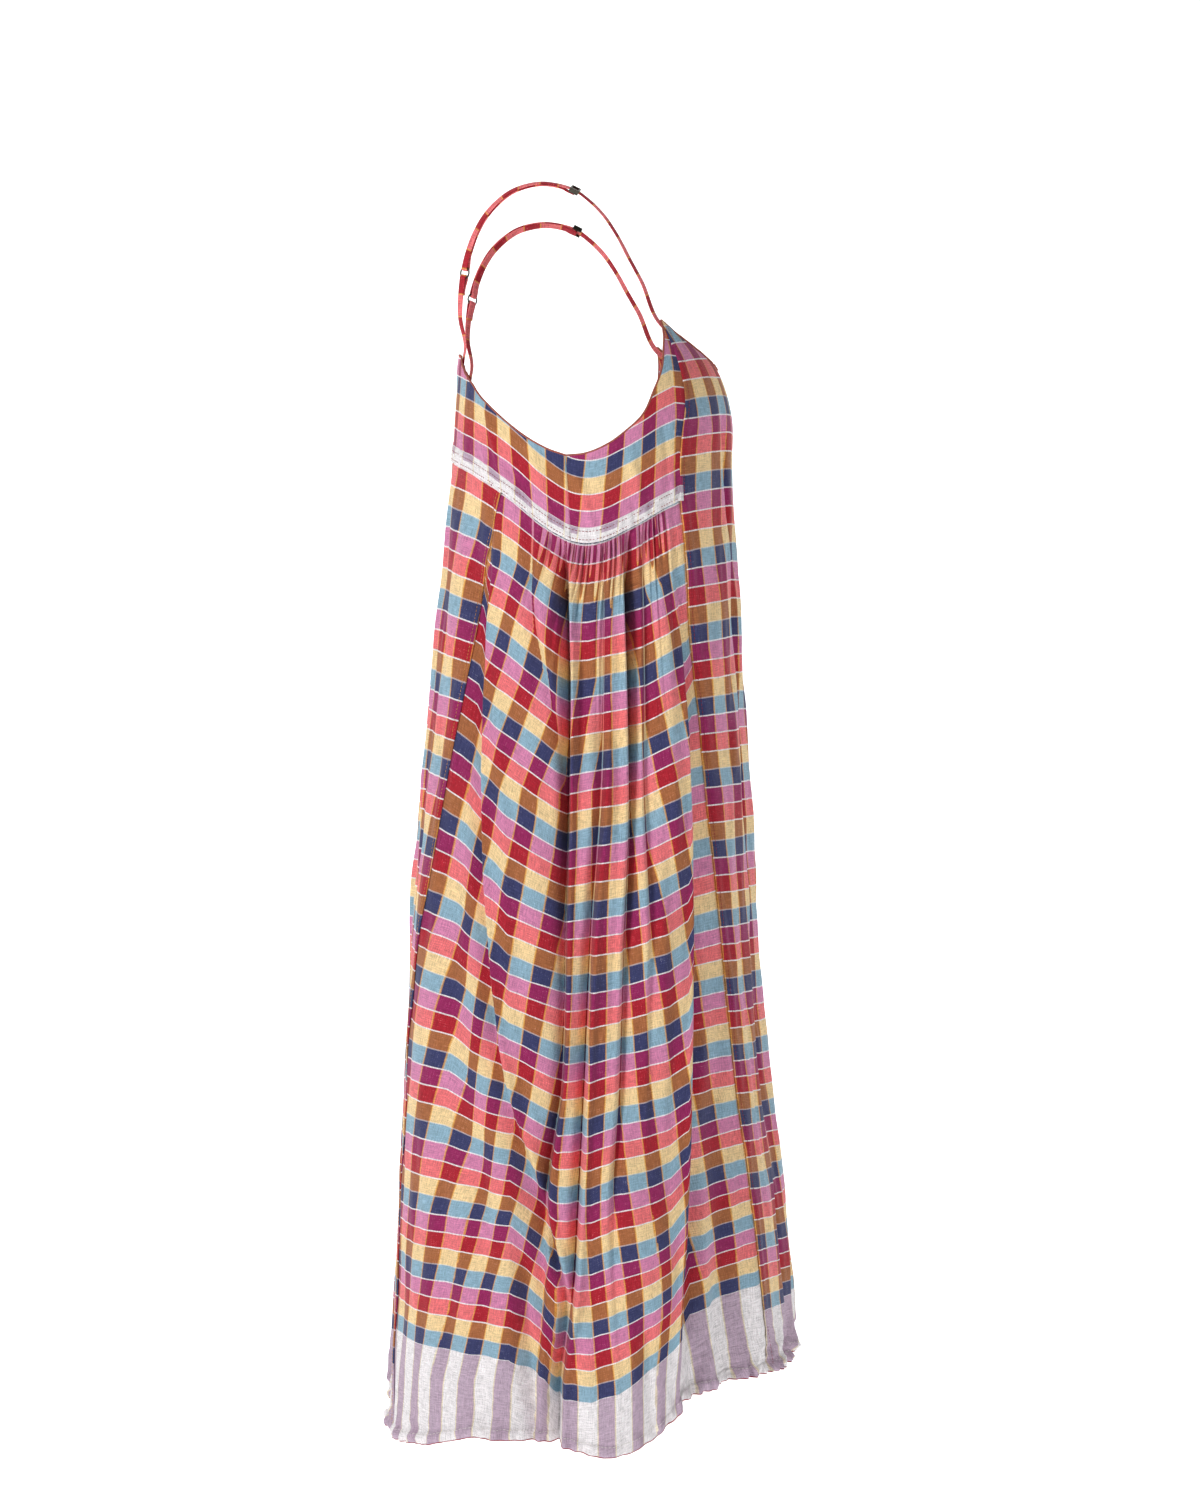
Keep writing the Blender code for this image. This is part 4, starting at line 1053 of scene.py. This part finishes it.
HANDLOOM = handloom_group()
FRONT_COTTON = check_cloth("front check cotton", -50, 56)
YOKE_COTTON = check_cloth("yoke check cotton", 0, 60)
SIDE_COTTON = check_cloth("side check cotton", -50, 48, crinkle=2.2)
BACK_COTTON = check_cloth("back check cotton", -50, 48)
STRAP_COTTON = check_cloth("strap cotton", -50, 60, slubs=1.2, crinkle=0.8)
BINDING = plain_finish("edge binding", srgb(140, 40, 50), srgb(190, 120, 90), 1400, 0.85)
RED_THREAD = plain_finish("red thread", srgb(170, 34, 52), srgb(120, 20, 40), 2500, 0.7)
WHITE_STITCH = plain_finish("white thread", srgb(244, 240, 236), srgb(214, 206, 204), 2500, 0.7)
GOLD_THREAD = plain_finish("gold thread", srgb(228, 170, 80), srgb(190, 120, 60), 2500, 0.7)
NICKEL = plain_finish("dark nickel", srgb(92, 88, 80), srgb(58, 56, 50), 1500, 0.36, 1.0, 0.08)


def lap(distance_mm, height_mm):
    """A lapped edge: a step of the given height that runs out about 12 mm from the edge."""
    return height_mm * MM * (1 - ease((distance_mm - 7.0) / 7.0))


def hem_lift(down, turn, height):
    """The rolled hem, on the lowest tenth of a panel alone."""
    return hem_roll(turn, height) * ease((down - 0.9) / 0.05)


def front_lift(across, down, turn, height):
    """The front panel laps over both princess seams and ends in the rolled hem."""
    from_seam = np.minimum(across, 1 - across) * 330 * (0.55 + 0.45 * ease(down * 4))
    return lap(from_seam, 1.3) + hem_lift(down, turn, height)


def side_lift(across, down, turn, height):
    """The side skirt is gathered, and runs under the yoke and the panels beside it."""
    under = np.minimum(across, 1 - across) * 300
    tuck = -0.7 * MM * (1 - ease(under / 6.0)) - 1.6 * MM * (1 - ease((down - 0.003) / 0.006))
    return gather_rise(across, down) + tuck + hem_lift(down, turn, height)


def back_lift(across, down, turn, height):
    """The back skirt laps over both back seams and runs under the yoke."""
    over = lap(np.minimum(across, 1 - across) * 300, 0.9)
    tuck = -0.9 * MM * (1 - ease(down * 790 / 5.0))
    return over + tuck + hem_lift(down, turn, height)


def yoke_lift(across, down, turn, height):
    """The yoke's lower edge is turned under and laps the skirt; its upper edge is bound."""
    foot = 1.1 * MM * ease((down - 0.80) / 0.08)
    pull = 0.35 * MM * rumple(turn, height, 8, (9, 18), (60, 200), 17) * ease((down - 0.72) / 0.2)
    return foot + pull


def front_edge(part):
    """The front panel's side: the yoke's seam on its first third, then the skirt's."""
    part = np.asarray(part, float)
    upper = princess_yoke(np.clip(part * 3, 0.0, 1.0))
    lower = princess_skirt(np.clip((part - 1 / 3) * 1.5, 0.0, 1.0) ** 1.35)
    return np.where((part <= 1 / 3 + 1e-9)[..., None], upper, lower)


def mirrored_pair(edges, shares, about=0.0, flip_first=False):
    """Edges of the right half joined to their mirror images, which come first or last."""
    images = tuple(flipped(backward(edge), about) for edge in edges[::-1])
    ordered = images + edges if flip_first else edges + images
    return joined(ordered, shares[::-1] + shares if flip_first else shares + shares[::-1])


def round_behind(line, start):
    """Along a line from a turn on the right half, round the back, to its mirror image."""
    return along_line(behind_line(line), start, 2 * math.pi - start)


def build_cloth():
    """The seven panels, each with its solid, grid, lift, thread map and laps."""
    hem_end, side_end = HEM_FRONT_CORNER[0, 0], YOKE_SIDE_CORNER[0, 0]
    back_end, hem_back_end = YOKE_BACK_CORNER[0, 0], HEM_BACK_CORNER[0, 0]
    front = patch(
        mirrored_pair((neckline,), (1,), flip_first=True),
        along_line(lambda turn: hem_height(np.abs(turn)), -hem_end, hem_end),
        flipped(front_edge), front_edge,
    )
    side_yoke = patch(
        armhole_front, along_line(yoke_height, YOKE_TOP_TURN, side_end), princess_yoke, side_seam,
    )
    back_yoke = patch(
        mirrored_pair((armhole_back, back_top), (1.5, 0.75), math.pi),
        round_behind(yoke_height, side_end), side_seam, flipped(side_seam, math.pi),
    )
    side_skirt = patch(
        along_line(yoke_height, YOKE_TOP_TURN, back_end),
        along_line(hem_height, hem_end, hem_back_end), princess_skirt, back_seam,
    )
    back_skirt = patch(
        round_behind(yoke_height, back_end), round_behind(hem_height, hem_back_end),
        back_seam, flipped(back_seam, math.pi),
    )
    yoke = ("check_cotton_yoke", side_yoke, even(96), even(84), yoke_lift)
    skirt = ("check_cotton_side", side_skirt, even(310), hem_rows(132, 1.2), side_lift)
    for name, node, look, threads, finish, mirrored, laps, flat, area, held in (
        ("front_cloth", "front_panel",
         ("check_cotton_front", front, even(190), hem_rows(210), front_lift),
         front_threads, FRONT_COTTON, False, (0, 0, 0, 0), (0.34, 0.93), 0.27, "hung"),
        ("side_yoke_cloth_right", "side_yoke_right", yoke,
         yoke_threads(False), YOKE_COTTON, False, (0, 0, 3, 0), (0.11, 0.20), 0.0115, "stretched"),
        ("side_yoke_cloth_left", "side_yoke_left", yoke,
         yoke_threads(False), YOKE_COTTON, True, (0, 0, 3, 0), (0.11, 0.20), 0.0115, "stretched"),
        ("back_yoke_cloth", "back_yoke",
         ("check_cotton_yoke", back_yoke, even(260), even(70), yoke_lift),
         yoke_threads(True), YOKE_COTTON, False, (0, 0, 0, 0), (0.42, 0.18), 0.036, "stretched"),
        ("side_skirt_cloth_right", "side_skirt_right", skirt,
         right_side_threads, SIDE_COTTON, False, (4, 0, 4, 3), (0.36, 0.79), 0.284, "gathered"),
        ("side_skirt_cloth_left", "side_skirt_left", skirt,
         left_side_threads, SIDE_COTTON, True, (4, 0, 4, 3), (0.36, 0.79), 0.284, "gathered"),
        ("back_skirt_cloth", "back_skirt",
         ("check_cotton_back", back_skirt, even(200), hem_rows(142, 1.2), back_lift),
         back_threads, BACK_COTTON, False, (4, 0, 0, 0), (0.32, 0.86), 0.255, "hung"),
    ):
        panel = cloth_piece(name, node, *look, threads, finish, mirrored, laps)


class StrapRoute:
    """The strap's centre line and its outward and sideways directions, by distance from its
    front end."""

    def __init__(self):
        ends = [self.tucked(FRONT_TUCK, False), self.tucked(BACK_TUCK, True)]
        table = np.array(STRAP_ROUTE, float)
        self.points = np.concatenate((ends[0], table[:, :3] * (-MM, MM, MM), ends[1]))
        self.rolls = np.radians(np.concatenate((FRONT_TUCK[2], table[:, 3], BACK_TUCK[2])))
        steps = np.linalg.norm(np.diff(self.points, axis=0), axis=1)
        self.places = np.concatenate(([0.0], np.cumsum(steps)))
        self.length = self.places[-1]

    def tucked(self, tuck, behind):
        heights = np.array(tuck[1], float) * MM
        turns = turn_at_width(np.full(len(heights), tuck[0] * MM), heights, behind)
        sink = (CAD_WALL + SEAM_GAP + STRAP_WALL / 2) * tuck[3]
        return on_form(turns, heights, fold_rise(turns, heights) - sink)

    def point(self, place):
        return np.stack([smooth(self.places, self.points[:, k], place) for k in range(3)], axis=-1)

    def frame(self, place):
        """Points, forward, outward and sideways directions at an array of places."""
        step = 0.5 * MM
        place = np.asarray(place, float)
        here = self.point(place)
        ahead = self.point(np.minimum(place + step, self.length))
        forward = unit(ahead - self.point(np.maximum(place - step, 0)))
        across = np.array((-1.0, 0.0, 0.0))
        outward = unit(np.cross(forward, across))
        from_arm = (here - ARM_CENTRE) * (0.0, 1.0, 1.0)
        side = np.sign(np.sum(outward * from_arm, axis=-1, keepdims=True))
        outward = outward * np.where(side < 0, -1.0, 1.0)
        roll = smooth(self.places, self.rolls, place)[..., None]
        arm = unit(across - forward * np.sum(forward * across, axis=-1, keepdims=True))
        outward = unit(outward * np.cos(roll) + arm * np.sin(roll))
        return here, forward, outward, unit(np.cross(forward, outward))

    def place_of_depth(self, depth_mm):
        places = np.linspace(0.0, self.length, 4000)
        depths = smooth(self.places, self.points[:, 1], places)
        over = (places > 0.15 * self.length) & (places < 0.85 * self.length)
        return float(places[over][np.argmin(np.abs(depths[over] - depth_mm * MM))])


def unit(vectors):
    return vectors / np.linalg.norm(vectors, axis=-1, keepdims=True)


def swept(points, outward, sideways, half_width, half_thick, sides, closed=False, power=2.0):
    """Closed section carried along a path: superellipse of the given half sizes, arrays allowed."""
    angle = np.linspace(0, 2 * math.pi, sides, endpoint=False)
    wide = np.sign(np.cos(angle)) * np.abs(np.cos(angle)) ** (2 / power)
    thick = np.sign(np.sin(angle)) * np.abs(np.sin(angle)) ** (2 / power)
    half_width = np.broadcast_to(half_width, points.shape[:1])[:, None, None]
    half_thick = np.broadcast_to(half_thick, points.shape[:1])[:, None, None]
    grid = (
        points[:, None, :] + sideways[:, None, :] * wide[None, :, None] * half_width
        + outward[:, None, :] * thick[None, :, None] * half_thick
    )
    index = np.arange(len(points) * sides).reshape(len(points), sides)
    following = np.roll(index, -1, axis=1)
    quads = (index, following, np.roll(following, -1, axis=0), np.roll(index, -1, axis=0))
    quads = np.stack(quads, axis=-1)[: None if closed else -1]
    faces = quads.reshape(-1, 4).tolist()
    if not closed:
        faces += [index[0][::-1].tolist(), index[-1].tolist()]
    return grid.reshape(-1, 3), faces


def facing_out(points, faces):
    """Turns the faces round if the closed mesh's signed volume is negative."""
    points = np.asarray(points)
    quads = np.array([face[:3] for face in faces])
    a, b, c = points[quads[:, 0]], points[quads[:, 1]], points[quads[:, 2]]
    volume = np.sum(a * np.cross(b, c))
    quads4 = np.array([face[:4] for face in faces if len(face) == 4])
    a, c, d = points[quads4[:, 0]], points[quads4[:, 2]], points[quads4[:, 3]]
    volume += np.sum(a * np.cross(c, d))
    return [face[::-1] for face in faces] if volume < 0 else faces


def band_piece(name, node, stations, mirrored):
    """A soft narrow strap through stations, with a rounded flat section and small puckers."""
    points, outward, sideways, length = stations
    wave = 0.5 * np.sin(length / (4.3 * MM)) + 0.4 * np.sin(length / (2.7 * MM) + 1.1)
    half_thick = STRAP_WALL / 2 * (0.9 + 0.09 * wave)
    half_width = STRAP_WIDTH / 2 * (0.98 + 0.02 * np.sin(length / (6.1 * MM)))
    if mirrored:
        points, outward, sideways = (part * (-1, 1, 1) for part in (points, outward, sideways))
    grid, faces = swept(
        points, outward, sideways, half_width, half_thick, STRAP_SIDES, power=3.4
    )
    uv = np.zeros((len(points), STRAP_SIDES, 2))
    uv[..., 0] = length[:, None] / (36 * MM) + 0.2
    uv[..., 1] = 1.5 + np.cos(np.linspace(0, 2 * math.pi, STRAP_SIDES, endpoint=False)) * 0.2
    piece = mesh_piece(name, grid, facing_out(grid, faces), STRAP_COTTON, uv)
    dressed(piece, node)


def build_straps():
    """Straps with their loops, back tabs and rings, on the routes of the solids."""
    route = StrapRoute()
    ring_place, slide_place = route.place_of_depth(RING_DEPTH), route.place_of_depth(SLIDE_DEPTH)
    layered = STRAP_WALL + SEAM_GAP
    under_slide = layered + SLIDE_BAR + SEAM_GAP
    loop = RING_WIRE + SEAM_GAP + STRAP_WALL / 2
    reach = math.sqrt(RING_RADIUS ** 2 - (STRAP_WIDTH / 2) ** 2)
    here, forward, outward, sideways = (part[0] for part in route.frame(np.array([ring_place])))

    def run(start, end, drop, face):
        count = max(4, round(abs(end - start) / (1.6 * MM)))
        place = np.linspace(start, end, count)
        spot, _, out, side = route.frame(place)
        return spot - out * drop(place)[:, None], out * face, side

    def turn_round(toward):
        centre = here - outward * loop + forward * toward * reach
        angle = np.linspace(0, math.pi, 18)[1:-1, None]
        spoke = outward * np.cos(angle) - forward * toward * np.sin(angle)
        return centre + spoke * loop, spoke, np.broadcast_to(sideways, spoke.shape)

    def chained(runs):
        points, out, side = (np.concatenate([part[k] for part in runs]) for k in range(3))
        steps = np.linalg.norm(np.diff(points, axis=0), axis=1)
        return points, out, side, np.concatenate(([0.0], np.cumsum(steps)))

    def flat(place):
        return np.zeros_like(place)

    def inner(place):
        near_ring = 1.0 - ease((ring_place - reach - place) / (13 * MM))
        near_slide = 1.0 - ease((place - slide_place - SLIDE_LENGTH / 2) / (8 * MM))
        return layered + (2 * loop - layered) * near_ring + (under_slide - layered) * near_slide

    def tab(place):
        near_ring = 1.0 - ease((place - ring_place - reach) / (13 * MM))
        return layered + (2 * loop - layered) * near_ring

    above, below = ring_place - reach - 1 * MM, ring_place + reach + 1 * MM
    strap = chained((
        run(0.0, above, flat, 1), turn_round(-1), run(above, slide_place - SLIDE_BAR, inner, -1),
    ))
    tab_end = ring_place + reach + 16 * MM
    back_tab = chained((
        run(route.length, below, flat, 1), turn_round(1), run(below, tab_end, tab, -1),
    ))
    angle = np.linspace(0, 2 * math.pi, RING_STEPS, endpoint=False)[:, None]
    spoke = forward * np.cos(angle) + sideways * np.sin(angle)
    hoop = here - outward * loop + spoke * RING_RADIUS
    for side, mirrored in SIDES:
        band_piece("strap_cloth_" + side, "strap_" + side, strap, mirrored)
        band_piece("tab_cloth_" + side, "back_tab_" + side, back_tab, mirrored)
        flip = np.array((-1, 1, 1)) if mirrored else np.ones(3)
        points, faces = swept(
            hoop * flip, np.broadcast_to(outward, spoke.shape) * flip, spoke * flip,
            RING_WIRE, RING_WIRE, 14, closed=True,
        )
        ring = mesh_piece("ring_metal_" + side, points, facing_out(points, faces), NICKEL)
        dressed(ring, "ring_" + side)


def surface_path(edge, count, lift, mirrored=False):
    """Points above the shown cloth along an edge, raised by the lift."""
    spot = edge(np.linspace(0, 1, count))
    turn = -spot[:, 0] if mirrored else spot[:, 0]
    return on_form(turn, spot[:, 1], relief(turn, spot[:, 1]) + lift)


def outward_of(points, forward):
    """Direction away from the dress's upright axis, square to the path."""
    out = points * (1, 1, 0)
    return unit(out - forward * np.sum(out * forward, axis=1, keepdims=True))


def trim_piece(name, points, faces, finish):
    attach(mesh_piece(name, points, facing_out(points, faces), finish), "root")


def cord_edge(name, points, radius, finish, closed=False):
    """A thin round edge, swept along points, its sides square to the path."""
    if closed:
        forward = unit(np.roll(points, -1, axis=0) - np.roll(points, 1, axis=0))
    else:
        forward = unit(np.gradient(points, axis=0))
    out = outward_of(points, forward)
    side = unit(np.cross(forward, out))
    trim_piece(name, *swept(points, out, side, radius, radius, 8, closed=closed), finish)


def stitches(name, runs, pitch, length, finish):
    """Rows of small raised stitches: each a lozenge of fourteen faces laid along its run."""
    template = []
    for along, size in ((-0.5, 0.35), (-0.3, 1.0), (0.3, 1.0), (0.5, 0.35)):
        template += [
            (along, size, 0.1), (along, 0.0, size * 0.9 + 0.1), (along, -size, 0.1),
            (along, 0.0, -0.6),
        ]
    template = np.array(template)
    quads = [[0, 1, 2, 3], [15, 14, 13, 12]]
    for start in (0, 4, 8):
        for j in range(4):
            following = (j + 1) % 4
            quads.append([start + 4 + j, start + 4 + following, start + following, start + j])
    blocks, faces, base = [], [], 0
    for points in runs:
        steps = np.linalg.norm(np.diff(points, axis=0), axis=1)
        places = np.concatenate(([0.0], np.cumsum(steps)))
        count = int(places[-1] / pitch)
        at = (np.arange(count) + 0.5) * pitch
        spot, ahead, behind = (
            np.stack([np.interp(at + step, places, points[:, k]) for k in range(3)], axis=-1)
            for step in (0.0, 0.6 * MM, -0.6 * MM)
        )
        forward = unit(ahead - behind)
        out = outward_of(spot, forward)
        side = np.cross(forward, out)
        grid = (
            spot[:, None] + forward[:, None] * template[None, :, :1] * length
            + side[:, None] * template[None, :, 1:2] * STITCH_THICK
            + out[:, None] * template[None, :, 2:] * STITCH_THICK
        )
        blocks.append(grid.reshape(-1, 3))
        pattern = np.array(quads)[None] + (np.arange(count) * len(template))[:, None, None] + base
        faces.append(pattern.reshape(-1, 4))
        base += count * len(template)
    trim_piece(name, np.concatenate(blocks), np.concatenate(faces).tolist(), finish)


def shifted(edge, turn_mm=0.0, height_mm=0.0):
    """The same edge, moved round the body and up by millimetres."""

    def at(part):
        spot = edge(part)
        radius = form_radius(np.abs(spot[..., 0]), spot[..., 1])
        moved = (spot[..., 0] + turn_mm * MM / radius, spot[..., 1] + height_mm * MM)
        return np.stack(moved, axis=-1)

    return at


def whole_round(line, start, end):
    return along_line(lambda turn: line(np.abs(wrapped(turn))), start, end)


def build_trims():
    """Bound edges, topstitching and the hem's edge thread."""
    arm = joined((armhole_front, armhole_back), (1.0, 1.15))
    neck = mirrored_pair((neckline,), (1,), flip_first=True)
    back = mirrored_pair((back_top,), (1,), math.pi)
    for name, edge, count, lift_mm, mirrored in (
        ("armhole_edge_right", arm, 260, 0.1, False), ("armhole_edge_left", arm, 260, 0.1, True),
        ("neck_edge", neck, 160, 1.0, False), ("back_edge", back, 120, 0.1, False),
    ):
        path = surface_path(edge, count, lift_mm * MM - CLOTH / 2, mirrored)
        cord_edge(name, path, EDGE_RADIUS, BINDING)
    first = YOKE_TOP_TURN + 0.02
    yoke_line = whole_round(yoke_height, first, 2 * math.pi - first)
    stitches("yoke_topstitch", [
        surface_path(shifted(yoke_line, 0, rise), 900, 1.1 * MM + STITCH_LIFT)
        for rise in (2.6, 9.8)
    ], 3.0 * MM, 2.1 * MM, RED_THREAD)
    princess = joined((princess_yoke, princess_skirt), (1, 4.2))
    for name, seam, shift_mm, count, lift_mm, finish in (
        ("princess_topstitch", princess, -4.2, 900, 1.3, RED_THREAD),
        ("back_seam_topstitch", back_seam, 3.6, 800, 0.9, GOLD_THREAD),
    ):
        stitches(name, [
            surface_path(shifted(seam, shift_mm), count, lift_mm * MM + STITCH_LIFT, mirrored)
            for _, mirrored in SIDES
        ], 3.2 * MM, 2.2 * MM, finish)
    hem = whole_round(hem_height, 0.0, 2 * math.pi)

    def hem_points(height_mm, lift_mm):
        spot = shifted(hem, 0, height_mm)(np.linspace(0, 1, 1600, endpoint=False))
        turn, height = spot[:, 0], spot[:, 1]
        lift = relief(turn, height) + hem_roll(turn, height) + lift_mm * MM
        return on_form(turn, height, lift)

    stitches("hem_topstitch", [hem_points(8.2, 0.15)], 3.4 * MM, 2.3 * MM, WHITE_STITCH)
    cord_edge("hem_edge", hem_points(0.0, -0.35), 0.55 * MM, RED_THREAD, closed=True)


def build_stage():
    """A pale seamless sweep: floor, curve and backdrop."""
    bend = np.linspace(0.1, math.pi / 2, 12)
    depth = np.concatenate((np.linspace(-5.5, 1.2, 8), 1.2 + 0.9 * np.sin(bend), [2.1]))
    height = np.concatenate((np.full(8, 0.0), 0.9 - 0.9 * np.cos(bend), [5.5])) - 1.75
    width = np.linspace(-5, 5, 9)
    x, y = np.meshgrid(depth, width, indexing="ij")
    points = np.stack((x, y, np.broadcast_to(height[:, None], x.shape)), axis=-1)
    paper = plain_finish(
        "pale paper", (0.86, 0.86, 0.86, 1), (0.9, 0.9, 0.9, 1), 3, 0.9, 0.0, 0.0
    )
    shader = paper.node_tree.nodes["Principled BSDF"].inputs
    shader["Emission Color"].default_value = (1, 1, 1, 1)
    shader["Emission Strength"].default_value = 0.8
    mesh_piece("studio_sweep", points, grid_faces(len(depth), len(width), True), paper)


def add_light(name, place, energy, size):
    """A square soft light turned to the dress's middle."""
    data = bpy.data.lights.new(name, "AREA")
    data.energy = energy
    data.size = size
    lamp = bpy.data.objects.new(name, data)
    lamp.location = place
    aim = Vector(DRESS_MIDDLE) - Vector(place)
    lamp.rotation_euler = aim.to_track_quat("-Z", "Y").to_euler()
    bpy.context.scene.collection.objects.link(lamp)


def build_studio():
    """The photo's level camera on the wearer's right, three soft lights and a faint even world."""
    scene = bpy.context.scene
    camera = bpy.data.objects.new("camera", bpy.data.cameras.new("camera"))
    camera.location = CAMERA_PLACE
    camera.rotation_euler = (math.pi / 2, 0.0, -math.pi / 2)
    camera.data.lens = CAMERA_LENS
    camera.data.sensor_width = 36
    scene.collection.objects.link(camera)
    scene.camera = camera
    scene.view_settings.view_transform = "Standard"
    world = bpy.data.worlds.new("studio air")
    scene.world = world
    world.use_nodes = True
    air = world.node_tree.nodes["Background"].inputs
    air["Color"].default_value = (1, 1, 1, 1)
    air["Strength"].default_value = WORLD_STRENGTH
    add_light("key", (-2.0, 1.5, 0.9), 40, 0.6)
    add_light("fill", (-2.5, -1.6, 0.4), 12, 0.9)
    add_light("far", (2.4, 0.6, 1.2), 12, 1.6)


build_cloth()
build_straps()
build_trims()
for side, _ in SIDES:
    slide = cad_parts["slide_" + side].data
    slide.materials.clear()
    slide.materials.append(NICKEL)
build_stage()
build_studio()
